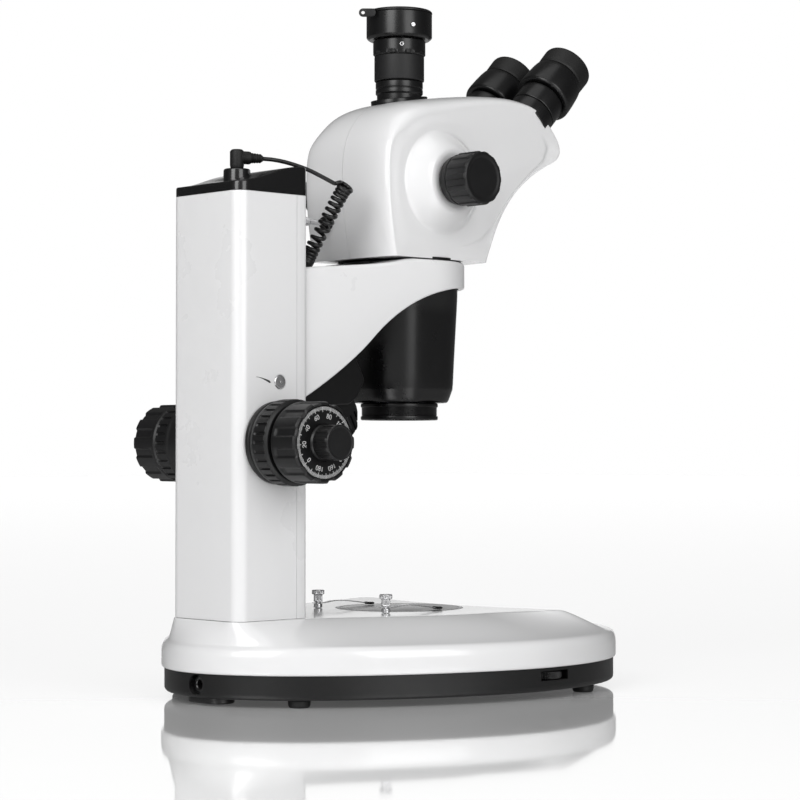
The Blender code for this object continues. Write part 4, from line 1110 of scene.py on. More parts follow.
def build_arm():
    """White arm: a ring for the head that runs back into a deep swept web at the pillar."""
    back = COVER.y0 - 0.3
    top_line = [(-60, ARM.z1), (28, ARM.z1), (36, ARM.z1 - 0.9), (44, ARM.z1 - 3.2), (60, 310.5), (back, 305)]
    under = [(-60, ARM_RING_LOW), (-30, ARM_RING_LOW)] + swoosh_line()[1:]
    lean = math.radians(7)
    tangent = (ARM_RING * math.cos(lean), ARM_RING * math.sin(lean))
    rows = [-ARM_RING * math.cos(math.radians(a)) for a in (1.5, 4, 7, 10, 14, 18, 22, 27, 32, 38, 44, 50,
                                                            57, 64, 72, 80, 88)]
    rows += [tangent[1] + (back - tangent[1]) * k / 44 for k in range(45)]
    rings = []
    edge, crown = 1.6, 3.0
    for y in rows:
        if y < tangent[1]:
            width = math.sqrt(max(0.0, ARM_RING ** 2 - y ** 2))
        else:
            width = tangent[0] + (ARM_FOOT - tangent[0]) * (y - tangent[1]) / (back - tangent[1])
        top = height_on(top_line, y)
        low = height_on(under, y)
        e = min(edge, width * 0.4)
        c = min(crown, width * 0.45)
        side = [(width - e * (1 - math.cos(math.radians(a))), low + e - e * math.sin(math.radians(a)))
                for a in range(90, -1, -18)]
        side += [(width, low + (top - low) * 0.5)]
        side += [(width - c * (1 - math.cos(math.radians(a))), top - c + c * math.sin(math.radians(a)))
                 for a in range(0, 91, 15)]
        rings.append([(x, y, z) for x, z in side] + [(-x, y, z) for x, z in reversed(side)])
    verts, faces = skin(rings)
    arm = add_piece("arm_shell", verts, faces, "white_enamel", "focus_arm", ["focus_arm"], 32)
    bore = rod_shape(44.6, 150, 340, 160)
    sideways = Matrix.Rotation(math.radians(90), 4, "Y")
    screw_hole = rod_shape(3.3, 38, 60, 40, at(0, 0, LOCK_SCREW.z) @ sideways)
    carve(arm, [bore, screw_hole], sharp=32)
    verts, faces = box_shape((-11, back - 4, 222), (11, COVER.y1 + 0.4, 302))
    add_piece("arm_tongue", verts, faces, "drawn_aluminium", "focus_arm")
    build_lock_screw()


def build_lock_screw():
    """Knurled screw at the ring's right side that clamps the head."""
    tip, end = LOCK_SCREW.x0, LOCK_SCREW.x1
    radius = (LOCK_SCREW.z1 - LOCK_SCREW.z0) / 2
    shank = end - 13.6

    def knurl(angle, reach, height):
        if reach < radius - 0.4 or not shank + 1.2 < height < end - 1.2:
            return reach
        return reach - 0.3 * (1 + math.cos(angle * 20))

    lathe("lock_screw_knob",
          [(0, end - 0.6), (4.5, end - 0.6), (5.2, end), (radius - 0.9, end), (radius, end - 0.9),
           (radius, shank + 0.8),
           (radius - 0.8, shank), (3.0, shank - 0.6), (3.0, tip), (0, tip)],
          "moulded_black", "head_lock", ["head_lock_screw"], along_x(1, 0, LOCK_SCREW.z), knurl, soften=0.4,
          sides=160, step=0.8)


# ---------------------------------------------------------------- lamp

def build_lamp():
    """Lamp bracket under the arm and the finned lamp housing between its cheeks."""
    bracket = Span("lamp_bracket")
    lamp = Span("lamp_housing")
    heel = [(y - 0.6, z - 0.9) for y, z in reversed(swoosh_line()[41:-3])]
    side = [(67.5, 249.6), (55, 227), (62, 215), (70, 209), (106, 207), (118, 213.5)] + heel
    side = softened(side, 2.5, True, 4)
    for word, way in SIDES:
        outer = way * bracket.x1
        inner = way * (lamp.x1 + 0.7)
        lift = 0.8 * way
        rings = [[(inner, y, z) for y, z in side], [(outer - lift, y, z) for y, z in side]]
        shrunk = inset_outline(side, 0.8) if area_of(side) > 0 else inset_outline(side, -0.8)
        rings.append([(outer, y, z) for y, z in shrunk])
        verts, faces = skin(rings)
        add_piece(f"lamp_cheek_{word}", verts, faces, "satin_black_metal", "focus_arm",
                  ["lamp_bracket"] if way < 0 else ())
    crown = [(72, 250), (86, 236.4), (104, 236.4), (104, 224)] + [p for p in heel if p[0] > 66 and p[0] < 104]
    crown = sorted_round(crown)
    verts, faces = skin([[(x, y, z) for y, z in crown] for x in (-lamp.x1 - 0.6, lamp.x1 + 0.6)])
    add_piece("lamp_bridge", verts, faces, "satin_black_metal", "focus_arm")
    build_lamp_housing(lamp)


def sorted_round(points):
    """Points put in order round their middle."""
    cy = sum(p[0] for p in points) / len(points)
    cz = sum(p[1] for p in points) / len(points)
    return sorted(points, key=lambda p: math.atan2(p[1] - cz, p[0] - cy))


def area_of(outline):
    return sum(a[0] * b[1] - b[0] * a[1] for a, b in zip(outline, outline[1:] + outline[:1])) / 2


def build_lamp_housing(lamp):
    pivot_y, pivot_z = 82.0, 222.0
    body = arc((0, 0), 11.5, 60, 150, 10) + [(-23, -14), (-24, -18), (-24, -30), (-16.4, -38), (12, -38),
                                             (20, -26)]
    body = softened([(pivot_y + y, pivot_z + z) for y, z in body], 1.6, True, 4)
    shrunk = inset_outline(body, 1.0) if area_of(body) > 0 else inset_outline(body, -1.0)
    half = lamp.x1
    rings = [[(-half, y, z) for y, z in shrunk], [(1 - half, y, z) for y, z in body],
             [(half - 1, y, z) for y, z in body], [(half, y, z) for y, z in shrunk]]
    verts, faces = skin(rings)
    housing = add_piece("lamp_shell", verts, faces, "satin_black_metal", "lamp", ["lamp_housing"])
    tools = []
    for k in range(5):
        shift = k * 4.0
        low_y, low_z = pivot_y - 27 + shift * 0.9, pivot_z - 22 - shift * 0.75
        turn = at(0, low_y, low_z) @ Matrix.Rotation(math.radians(-28), 4, "X")
        verts, faces = box_shape((-half - 2, -0.75, -9), (-half + 2.6, 0.75, 8))
        tools.append((stood(verts, turn), faces))
        verts, faces = box_shape((half - 2.6, -0.75, -9), (half + 2, 0.75, 8))
        tools.append((stood(verts, turn), faces))
    lens_axis = at(0, pivot_y - 9, pivot_z - 27) @ Matrix.Rotation(math.radians(180 - 27), 4, "X")
    tools.append(rod_shape(10.3, -0.2, 16, 64, lens_axis))
    carve(housing, tools)
    lathe("lamp_window", [(0, 5.2), (4.5, 4.7), (8, 3.5), (10, 2.4), (10, 0.4), (0, 0.4)], "coated_lens",
          "lamp",
          ["lamp_lens"], lens_axis, soften=0.4, sides=64)


# ---------------------------------------------------------------- head

def head_profile(count):
    """Side view of the head at the centre plane: rear foot, back, crown, nose and front foot."""
    points = bezier((50, HEAD_LOW), (56, 338), (58.5, 366), (57.5, 386), 24)
    points += bezier((57.5, 386), (56.5, 411), (41, 430.5), (14, 435.6), 24)[1:]
    points += bezier((14, 435.6), (-12, 440.4), (-55, 447.8), (-84, 446.4), 24)[1:]
    points += bezier((-84, 446.4), (-102, 445), (-118, 434), (-131, 416), 20)[1:]
    points += bezier((-131, 416), (-135.5, 407), (-132.5, 402), (-120, 397), 14)[1:]
    points += bezier((-120, 397), (-86, 381), (-63, 357), (FRONT_FOOT, HEAD_LOW), 40)[1:]
    return resampled(points, count)


def edge_softness(y, z):
    """Share of the side's inset at a profile point: full at the crown, less at the rear, nose and front."""
    front = smooth_step((-38 - y) / 22) * (1 - smooth_step((z - 392) / 22))
    nose = smooth_step((-84 - y) / 26)
    rear = smooth_step((y - 30) / 20) * (1 - smooth_step((z - 400) / 25))
    return 1 - max(0.62 * front, 0.62 * nose, 0.55 * rear)


def head_ring(x, inset, profile):
    """One section of the head: the profile drawn in by an inset, with its foot kept level."""
    ring = []
    for y, z in profile:
        centre_z = min(z, ZOOM_Z)
        distance = math.hypot(y, z - centre_z)
        keep = 1 - inset * edge_softness(y, z) / max(distance, 30)
        ring.append((x, y * keep, centre_z + (z - centre_z) * keep))
    return ring


def crease_depth(y, z):
    """How far a side point lies ahead of the raised panel's edge, towards the front outline."""
    line = ((-26, 329), (-42, 335), (-53, 344), (-62, 356), (-75, 371), (-93, 387), (-110, 400), (-114, 409),
            (-106, 421))
    best = 1e9
    sign = 1.0
    for (y0, z0), (y1, z1) in zip(line, line[1:]):
        dy, dz = y1 - y0, z1 - z0
        t = min(max(((y - y0) * dy + (z - z0) * dz) / (dy * dy + dz * dz), 0.0), 1.0)
        distance = math.hypot(y - y0 - dy * t, z - z0 - dz * t)
        if distance < best:
            best = distance
            cross = dy * (z - z0) - dz * (y - y0)
            sign = 1.0 if cross > 0 else -1.0
    return best * sign


def head_sections():
    """Rings from the centre plane over the rounded edge, in along the side and out along the knob's boss."""
    foot = [(FRONT_FOOT + (50 - FRONT_FOOT) * k / 30, HEAD_LOW) for k in range(1, 30)]
    profile = head_profile(HEAD_POINTS - 30) + foot
    rings = []
    reach = 45.4
    deepest = 13.0
    for step in range(26):
        angle = math.pi / 2 * step / 25
        share = math.sin(angle) ** 0.9
        x = 0.15 + (reach - 0.15) * share
        inset = deepest * (1 - (1 - share ** 3.2) ** (1 / 2.5))
        rings.append(head_ring(x, inset, profile))
    side = head_ring(reach, deepest, profile)
    boss_base = 39.0
    rows = 56
    for step in range(1, rows + 1):
        t = step / rows
        ring = []
        for x, y, z in side:
            dy, dz = y, z - ZOOM_Z
            distance = math.hypot(dy, dz)
            new = distance + (boss_base - distance) * t
            ny, nz = dy / distance * new, dz / distance * new
            ahead = crease_depth(ny, nz + ZOOM_Z)
            dip = smooth_step(ahead / 1.4) * (1 - smooth_step(ahead / 14))
            dip *= smooth_step((nz + ZOOM_Z - 325) / 10) * (1 - smooth_step((nz + ZOOM_Z - 408) / 13))
            swell = 0.9 * smooth_step(t * 1.5)
            ring.append((reach + swell - 1.2 * dip, ny, nz + ZOOM_Z))
        rings.append(ring)
    last = rings[-1]
    boss = [(38.2, 46.5), (37.4, 46.9), (36.5, 47.6), (35.4, 48.7), (34.2, 50.1), (32.9, 51.6), (31.5, 53.2),
            (30.0, 54.8), (28.4, 56.4), (26.8, 57.8), (25.3, 58.9), (24.2, 59.6), (23.2, 60.0),
            (19.5, 60.0), (19.0, 59.6), (5.7, 59.6), (5.7, 57.0)]
    for radius, x in boss:
        ring = []
        for _, y, z in last:
            dy, dz = y, z - ZOOM_Z
            distance = math.hypot(dy, dz)
            ring.append((x, dy / distance * radius, ZOOM_Z + dz / distance * radius))
        rings.append(ring)
    for radius, x in ((26.0, 54.0), (36.0, 44.0)):
        rings.append([(x, y / math.hypot(y, z - ZOOM_Z) * radius,
                       ZOOM_Z + (z - ZOOM_Z) / math.hypot(y, z - ZOOM_Z) * radius) for _, y, z in last])
    rings.append(head_ring(reach - 3.0, deepest + 3.0, lifted(profile)))
    rings.append(head_ring(30, 5.0, lifted(profile)))
    rings.append(head_ring(0.15, 3.0, lifted(profile)))
    return rings


def lifted(profile):
    """The head's profile with a floor thickness left under it."""
    return [(y, max(z, HEAD_LOW + 3.0)) for y, z in profile]


def build_head():
    sections = head_sections()
    for word, side in SIDES:
        rings = [[(side * x, y, z) for x, y, z in ring] for ring in sections]
        verts, faces = skin(rings, closed=True)
        add_piece(f"head_half_{word}", verts, faces, "gloss_white_housing", "head", [f"head_shell_{word}"],
                  40)
    ring = Span("head_mount_ring")
    lathe("mount_ring_black", [(ring.x1, ring.z1), (ring.x1, ring.z0), (30, ring.z0), (30, ring.z1)],
          "satin_black_metal", "head", ["head_mount_ring"], closed=True, soften=0.2, sides=128)
    rod = PULL_ROD
    matrix = at(rod.x, 0, rod.z) @ Matrix.Rotation(math.radians(-90), 4, "X")
    lathe("pull_rod", [(0, rod.y1), (2.4, rod.y1), (3.2, rod.y1 - 0.9), (3.2, rod.y1 - 6), (2.6, rod.y1 - 7),
                       (2.0, rod.y1 - 7.4), (2.0, rod.y0), (0, rod.y0)],
          "turned_steel", "light_path", ["light_path_rod"], matrix, soften=0.4, sides=48)
    lathe("rod_bush", [(4.4, 61.0), (4.8, 60.4), (4.8, 52), (2.5, 52), (2.5, 61.0)], "moulded_black", "head",
          matrix=matrix, closed=True, soften=0.3, sides=48)


def build_objective():
    """Black barrel with four shallow flats, the threaded nosepiece and its lens."""
    levels = [(43.8, BARREL.z1), (43.8, 297), (43.7, 290), (43.2, 280), (42.2, 262), (41.2, 243),
              (40.4, 226), (40.0, 221.2),
              (39.4, 219.6), (37.2, 213.4), (36.2, 211.8), (35.2, BARREL.z0), (27, BARREL.z0),
              (26.4, 212.4), (26.4, 214),
              (34, 218), (39, 240), (40, BARREL.z1)]

    def flats(angle, radius, height):
        off = (angle + math.pi / 4) % (math.pi / 2) - math.pi / 4
        depth = smooth_step((293 - height) / 14) * 0.075
        if radius < 35 or depth <= 0:
            return radius
        flat = radius * (1 - depth) / math.cos(off)
        sharp = 26.0
        return (radius ** -sharp + flat ** -sharp) ** (-1 / sharp)

    lathe("barrel_shell", levels, "satin_black_metal", "head", ["objective_barrel"], wave=flats, closed=True,
          soften=0.8, sides=192, step=6.0, sharp=45)
    z0, z1 = NOSEPIECE.z0, NOSEPIECE.z1
    profile = [(26, z1), (28.2, z1), (29, z1 - 0.7), (29, z1 - 2.8), (28.1, z1 - 3.4)]
    thread_low, thread_high = z0 + 3.4, z1 - 3.6
    turns = 7
    for k in range(turns):
        z = thread_high - (thread_high - thread_low) * k / turns
        pitch = (thread_high - thread_low) / turns
        profile += [(28.5, z - pitch * 0.3), (28.0, z - pitch * 0.85)]
    profile += [(28.2, z0 + 3.2), (29, z0 + 2.8), (29, z0 + 0.7), (28.2, z0), (24, z0), (24, z1 - 5),
                (26, z1 - 4)]
    lathe("nosepiece_thread", profile, "satin_black_metal", "head", ["nosepiece_ring"], closed=True,
          soften=0.15,
          sides=160, sharp=50)
    lens = Span("objective_lens")
    lathe("front_lens", [(0, lens.z1), (lens.x1, lens.z1), (lens.x1, lens.z1 - 3), (20, lens.z0 + 1.4),
                         (12, lens.z0 + 0.4),
                         (0, lens.z0)], "coated_lens", "head", ["objective_lens"], soften=0.2)


def build_zoom(bars):
    """Zoom knobs with a smooth collar, raised bars and a slightly dished end."""
    for word, side in SIDES:
        node = Span(f"zoom_knob_{word}")
        inner = min(abs(node.x0), abs(node.x1))
        outer = max(abs(node.x0), abs(node.x1))
        rim = (node.z1 - node.z0) / 2

        def bar_wave(angle, radius, height):
            if radius < rim - 1.6 or height < inner + 6.5:
                return radius
            phase = (angle * bars / FULL_TURN) % 1.0
            across = max(0.0, 1 - ((phase - 0.5) / 0.26) ** 2)
            run = min((height - inner - 8.0) / 1.4, 1.0)
            edge = 1.0 if height < outer - 2.2 else max(0.0, (outer - height) / 2.2)
            return radius - 0.95 * edge + 0.95 * edge * smooth_step(across * 2.0) * math.sqrt(max(run, 0.0))

        profile = [(0, outer - 0.9), (14.5, outer - 0.8), (16.4, outer - 0.1), (17.6, outer),
                   (rim - 0.5, outer - 0.8),
                   (rim, outer - 2.2), (rim, inner + 9), (rim - 0.6, inner + 7), (rim - 1.2, inner + 5),
                   (rim - 2.0, inner + 1.2), (rim - 2.6, inner), (5.3, inner), (5.3, inner + 11),
                   (0, inner + 11)]
        lathe(f"zoom_grip_{word}", profile, "moulded_black", "zoom", [f"zoom_knob_{word}"],
              along_x(side, ZOOM.y, ZOOM.z), bar_wave, soften=0.6, sides=bars * 20, step=1.0, sharp=50)


def build_eyepieces():
    """Black seats and tubes, diopter rings with a soft taper, rubber eyecups and eye lenses."""
    for word, side in SIDES:
        x = side * 29.0
        matrix = at(x, TUBE_FOOT_Y, TUBE_FOOT_Z) @ Matrix.Rotation(math.radians(TUBE_TILT), 4, "X")
        lathe(f"tube_seat_{word}", [(17.7, 0.9), (18.2, 0.4), (18.2, -11), (16.8, -11), (16.8, 0.9)],
              "satin_black_metal", "head", matrix=matrix, closed=True, soften=0.4)
        lathe(f"eye_tube_{word}",
              [(15.5, 21.4), (15.5, 17.2), (17.4, 17.2), (18.5, 16.2), (18.5, 1.9), (18.1, 1.3), (7.5, 1.3),
               (7.5, -13),
               (6, -13), (6, 21.4)],
              "satin_black_metal", f"eyepiece_{word}", [f"eyepiece_tube_{word}"], matrix, closed=True,
              soften=0.4)
        lathe(f"diopter_{word}",
              [(17.6, 45.4), (17.6, 42.2), (19.6, 41.7), (20.6, 41.0), (21.3, 37.0), (22.0, 29.0),
               (22.3, 23.0),
               (22.2, 19.5), (21.6, 18.2), (20.6, 17.7), (15.9, 17.7), (15.9, 22), (12, 22), (12, 45.4)],
              "satin_black_metal", f"diopter_{word}", [f"diopter_ring_{word}"], matrix, closed=True,
              soften=0.45)
        lathe(f"rubber_eyecup_{word}",
              [(18.4, 58.6), (19.9, 57.9), (20.2, 56.8), (20.1, 50.5), (19.9, 44.4), (19.4, 42.9),
               (17.7, 42.5),
               (17.7, 46.0), (13, 46.0), (13, 48.5), (15.5, 50.5), (17.0, 58.0)],
              "black_rubber", f"diopter_{word}", [f"eyecup_{word}"], matrix, closed=True, soften=0.4)
        lathe(f"eye_lens_{word}", [(0, 49.2), (7, 48.5), (12.9, 46.7), (12.9, 45.6), (0, 45.6)],
              "coated_lens",
              f"diopter_{word}", matrix=matrix, soften=0.2)
        lathe(f"eye_stop_{word}", [(11.9, 45.5), (11.9, 40), (0, 40), (0, 40.4), (0, 45.5)],
              "matte_black_metal",
              f"diopter_{word}", matrix=matrix, soften=0.1)


def build_port():
    """Camera port: oblong flange and neck, matte tube, scalloped lock ring, cup and its cap with an ear."""
    slope = Matrix.Rotation(math.radians(-7.5), 4, "X")
    flange = arc((0, 5), 17.8, 0, 180, 40) + arc((0, -5), 17.8, 180, 360, 40)
    levels = [(-2.2, 0.0), (0.8, 0.0), (1.2, 0.25), (1.4, 0.8)]
    verts, faces = skin(stack(flange, levels))
    add_piece("port_flange", stood(verts, at(0, 0, 438.9) @ slope), faces, "satin_black_metal", "head",
              ["photo_port"])
    lathe("port_neck",
          [(17.0, 452.6), (17.8, 452.0), (17.8, 447.7), (17.2, 447.4), (17.2, 446.9), (17.8, 446.6),
           (17.8, 443.6),
           (16.8, 442.6), (16.8, 434), (12, 434), (12, 452.6)],
          "satin_black_metal", "head", closed=True, soften=0.25)
    tube = PHOTO_TUBE
    lathe("port_tube", [(17.2, tube.z1), (17.2, 471.9), (18.5, 471.9), (18.75, 471.4), (18.75, tube.z0 + 0.6),
                        (18.2, tube.z0), (12, tube.z0), (12, tube.z1)],
          "matte_black_metal", "head", ["photo_tube"], closed=True, soften=0.3)
    build_lock_ring()
    cup = TUBE_CUP
    lathe("cup_shell", [(24.7, cup.z1), (24.7, 486.2), (24.1, 485.3), (22.9, cup.z0), (17, cup.z0),
                        (12, cup.z0 + 0.3),
                        (12, 487), (22, 487), (22, cup.z1)],
          "satin_black_metal", "head", ["camera_cup"], closed=True, soften=0.5, sides=144)
    screw = at(-23.6, 8.4, 492.5) @ Matrix.Rotation(math.radians(-90), 4, "Y") @ Matrix.Rotation(
        math.radians(-20), 4, "X")
    lathe("cup_screw", [(0, 0.7), (0.9, 0.7), (1.1, 1.2), (1.5, 1.2), (1.7, 0.8), (1.7, -2), (0, -2)],
          "turned_steel", "head", matrix=screw, soften=0.15, sides=40)
    build_dust_cap()


def build_lock_ring():
    ring = LOCK_RING
    radius = ring.x1
    middle = (ring.z0 + ring.z1) / 2

    def scallop(angle, reach, height):
        if reach < radius - 1.6 or height > ring.z0 + 3.4:
            return reach
        phase = 0.5 + 0.5 * math.cos(angle * 9)
        fade = 1 - (height - ring.z0) / 3.4
        return reach - 1.0 * smooth_step((phase - 0.35) * 2.2) * smooth_step(fade * 1.6)

    lathe("lock_collar",
          [(radius - 0.5, ring.z1), (radius, ring.z1 - 0.5), (radius, ring.z0 + 1.0), (radius - 0.8, ring.z0),
           (17.5, ring.z0), (17.5, ring.z1)],
          "satin_black_metal", "photo_lock", ["photo_lock_ring"], wave=scallop, closed=True, soften=0.3,
          sides=216,
          step=0.6, sharp=50)
    turn = Matrix.Rotation(math.radians(142), 4, "Z")
    screw = turn @ at(radius - 0.9, 0, middle + 1) @ Matrix.Rotation(math.radians(90), 4, "Y")
    lathe("lock_grub", [(0, 0.3), (0.8, 0.3), (0.9, 1.1), (1.5, 1.1), (1.6, -1.2), (0, -1.2)], "turned_steel",
          "photo_lock", matrix=screw, soften=0.1, sides=36)


def build_dust_cap():
    cap = DUST_CAP
    top = cap.z1
    lathe("dust_cap_shell",
          [(0, top - 0.5), (19.5, top - 0.5), (20.2, top), (23.9, top), (24.9, top - 0.9), (24.9, top - 2.1),
           (21.6, top - 2.1), (21.6, top - 7), (20, top - 7), (20, top - 1.9), (0, top - 1.9)],
          "moulded_black", "dust_cap", ["dust_cap"], soften=0.35, sides=144)
    turn = Matrix.Rotation(math.radians(46.5), 4, "Z")
    face = at(0, 0, 502) @ turn @ Matrix.Rotation(math.radians(90), 4, "X")
    outline = arc((27, 0), 3.1, -90, 90, 14) + arc((20.6, 0), 3.1, 90, 270, 14)
    verts, faces = skin(stack(outline, rounded_levels(-20.4, -18.4, 0.45)))
    ear = add_piece("cap_ear", stood(verts, face), faces, "moulded_black", "dust_cap")
    carve(ear, [rod_shape(1.35, -25, -15, 32, face @ at(27, 0, 0))])
    verts, faces = box_shape((18.2, 2.1, -19.6), (22.8, 3.1, -12.5))
    add_piece("ear_bridge", stood(verts, face), faces, "moulded_black", "dust_cap")


# ---------------------------------------------------------------- lamp lead

LEAD_ROUTE = (
    (-6.1, 139.2, 382.6), (-8.3, 132.5, 382.4), (-12.3, 125.8, 381.2), (-17.2, 118.6, 378.9),
    (-23.4, 110.4, 375.2), (-29.8, 101.8, 369.9), (-34.8, 94.9, 365.4),
)
COIL_ROUTE = (
    (-39.5, 90, 364.3), (-33.5, 91.5, 356), (-25, 94, 342), (-14.5, 97.5, 324), (-9.5, 99.5, 314.4),
    (-8, 101, 309.9),
)
LEAD_RADIUS = 1.5
COIL_CORE = 4.25


def lead_points(turns):
    """The lead's centreline: the straight run, the curly part wound round its axis, then into the arm."""
    run = smooth_line(LEAD_ROUTE, 26)
    spine = smooth_line(COIL_ROUTE, 200)
    first = run[-1]
    steps = turns * 18
    helix = []
    start_side = (first - spine[0])
    for k in range(steps + 1):
        t = k / steps
        reach = t * 199.999
        i = int(reach)
        here = spine[i].lerp(spine[i + 1], reach - i)
        along = (spine[min(i + 2, 200)] - spine[max(i - 1, 0)]).normalized()
        across = (start_side - along * start_side.dot(along)).normalized()
        other = along.cross(across)
        angle = FULL_TURN * turns * t
        radius = COIL_CORE * (1 + 0.25 * smooth_step(1 - t * 14))
        radius *= 1 - 0.55 * smooth_step((t - 0.965) / 0.035)
        helix.append(here + across * (radius * math.cos(angle)) + other * (radius * math.sin(angle)))
    joined = run[:-1]
    bridge = hermite(run[-2], helix[0], (run[-1] - run[-3]) * 1.2, (helix[2] - helix[0]) * 2.0, 6)
    return joined[:-1] + bridge + helix[1:]


def hermite(start, end, leave, arrive, count):
    points = []
    for k in range(count + 1):
        t = k / count
        points.append(start * (2 * t ** 3 - 3 * t ** 2 + 1) + leave * (t ** 3 - 2 * t ** 2 + t)
                      + end * (3 * t ** 2 - 2 * t ** 3) + arrive * (t ** 3 - t ** 2))
    return points


def tube_shape(points, radius, sides):
    """A round tube along a line, with a frame that turns as little as it can."""
    rings = []
    normal = None
    for k, point in enumerate(points):
        along = (points[min(k + 1, len(points) - 1)] - points[max(k - 1, 0)]).normalized()
        if normal is None:
            normal = along.orthogonal().normalized()
        normal = (normal - along * normal.dot(along)).normalized()
        other = along.cross(normal)
        rings.append([tuple(point + normal * (radius * math.cos(a)) + other * (radius * math.sin(a)))
                      for a in (FULL_TURN * n / sides for n in range(sides))])
    return skin(rings)


def build_lead(turns):
    points = lead_points(turns)
    verts, faces = tube_shape(points, LEAD_RADIUS, 12)
    lead = add_piece("lamp_lead", verts, faces, "lead_rubber", "root", ["cord_lead", "cord_coil"])
    lead.parent = None
    plug = build_plug()
    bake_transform(lead)
    entry = COIL_ROUTE[-1]
    lathe("lead_grommet", [(4.6, 308.6), (5.0, 307.8), (5.2, 305), (2.0, 305), (2.0, 308.6)],
          "black_rubber", "focus_arm",
          matrix=at(entry[0], entry[1]), closed=True, soften=0.4, sides=48)


def build_plug():
    """Right-angle plug: an upright body with a ribbed relief along the lead."""
    y = 158.0
    centre_z = 382.6
    body = [(0, 388.2), (3.6, 388.2), (5, 386.9), (5, 377), (4.6, 375), (3.9, 374.6), (3.9, 369), (0, 369)]
    body_verts, body_faces = turned(softened(body, 0.6), 64)
    body_verts = stood(body_verts, at(0, y, 0))
    toward = math.atan2(-0.95, -0.31)
    arm = [(0, 19.4), (2.1, 19.4), (2.5, 18.6)]
    for k in range(4):
        d = 17.8 - k * 1.9
        arm += [(3.2 + 0.14 * k, d), (3.3 + 0.14 * k, d - 0.9), (2.6 + 0.14 * k, d - 1.0),
                (2.6 + 0.14 * k, d - 1.7)]
    arm += [(4.3, 10), (4.6, 9), (4.6, 0), (0, 0)]
    arm_verts, arm_faces = turned(softened(arm, 0.3), 64)
    matrix = at(0, y, centre_z) @ Matrix.Rotation(toward, 4, "Z") @ Matrix.Rotation(math.radians(90), 4, "Y")
    plug = add_piece("lamp_plug", body_verts, body_faces, "black_rubber", "root", ["cord_plug"])
    carve(plug, [(stood(arm_verts, matrix), arm_faces)], "UNION")
    return plug


# ---------------------------------------------------------------- carried-over parts and studio

INNER_FINISHES = {
    "light_panel": "frosted_panel", "guide_frame": "turned_steel", "slide_carriage": "drawn_aluminium",
    "focus_rack": "cut_brass", "pinion_shaft": "turned_steel", "optics_core": "drawn_aluminium",
    "zoom_shaft": "turned_steel",
}


def finish_inner_parts():
    for node, finish in INNER_FINISHES.items():
        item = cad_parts[node]
        paint, slot = FINISHES[finish]
        item.data.materials.clear()
        item.data.materials.append(paint)


def build_floor():
    """Pale glossy bench that fades into the backdrop."""
    paint = bpy.data.materials.new("bench_white")
    paint.use_nodes = True
    shader = paint.node_tree.nodes["Principled BSDF"]
    shader.inputs["Base Color"].default_value = (0.97, 0.97, 0.97, 1.0)
    shader.inputs["Roughness"].default_value = 0.05
    shader.inputs["Metallic"].default_value = 0.42
    shader.inputs["Emission Color"].default_value = (1.0, 1.0, 1.0, 1.0)
    shader.inputs["Emission Strength"].default_value = 0.06
    mesh = bpy.data.meshes.new("bench")
    size = 12.0
    mesh.from_pydata([(-size, -size, 0), (size, -size, 0), (size, size, 0), (-size, size, 0)], [],
                     [(0, 1, 2, 3)])
    mesh.materials.append(paint)
    floor = bpy.data.objects.new("bench", mesh)
    bpy.context.scene.collection.objects.link(floor)


def build_backdrop(studio):
    """A white backdrop before the camera, and a dimmer studio all round it."""
    world = bpy.data.worlds.new("studio")
    world.use_nodes = True
    tree = world.node_tree
    back = tree.nodes["Background"]
    place = tree.nodes.new("ShaderNodeTexCoord")
    toward = tree.nodes.new("ShaderNodeVectorMath")
    behind = tree.nodes.new("ShaderNodeMapRange")
    spread = tree.nodes.new("ShaderNodeMapRange")
    rays = tree.nodes.new("ShaderNodeLightPath")
    brighter = tree.nodes.new("ShaderNodeMath")
    toward.operation = "DOT_PRODUCT"
    toward.inputs[1].default_value = VIEW
    behind.interpolation_type = "SMOOTHSTEP"
    behind.inputs["From Min"].default_value = 0.15
    behind.inputs["From Max"].default_value = -0.9
    behind.inputs["To Min"].default_value = studio.sides
    behind.inputs["To Max"].default_value = studio.surround
    spread.interpolation_type = "SMOOTHSTEP"
    spread.inputs["From Min"].default_value = 0.955
    spread.inputs["From Max"].default_value = 0.975
    spread.inputs["To Max"].default_value = studio.backdrop
    brighter.operation = "MAXIMUM"
    back.inputs["Color"].default_value = (1.0, 1.0, 1.0, 1.0)
    tree.links.new(place.outputs["Generated"], toward.inputs[0])
    tree.links.new(toward.outputs["Value"], behind.inputs["Value"])
    tree.links.new(behind.outputs["Result"], spread.inputs["To Min"])
    tree.links.new(toward.outputs["Value"], spread.inputs["Value"])
    tree.links.new(spread.outputs["Result"], brighter.inputs[0])
    tree.links.new(rays.outputs["Is Camera Ray"], brighter.inputs[1])
    tree.links.new(brighter.outputs["Value"], back.inputs["Strength"])
    bpy.context.scene.world = world
    bpy.context.scene.view_settings.view_transform = "Standard"


def add_light(name, aside, up, distance, size, power):
    """A softbox, placed by its angles in degrees to the right of the camera and up from the bench."""
    target = Vector((0.0, AXIS_Y, 0.27))
    turn = Matrix.Rotation(math.radians(aside), 3, "Z")
    level = turn @ Vector((-VIEW.x, -VIEW.y, 0.0)) * math.cos(math.radians(up))
    place = target + (level + Vector((0, 0, math.sin(math.radians(up))))) * distance
    lamp = bpy.data.lights.new(name, "AREA")
    lamp.shape = "RECTANGLE"
    lamp.size, lamp.size_y = size
    lamp.energy = power
    item = bpy.data.objects.new(name, lamp)
    item.location = place
    item.rotation_euler = (target - place).to_track_quat("-Z", "Y").to_euler()
    bpy.context.scene.collection.objects.link(item)


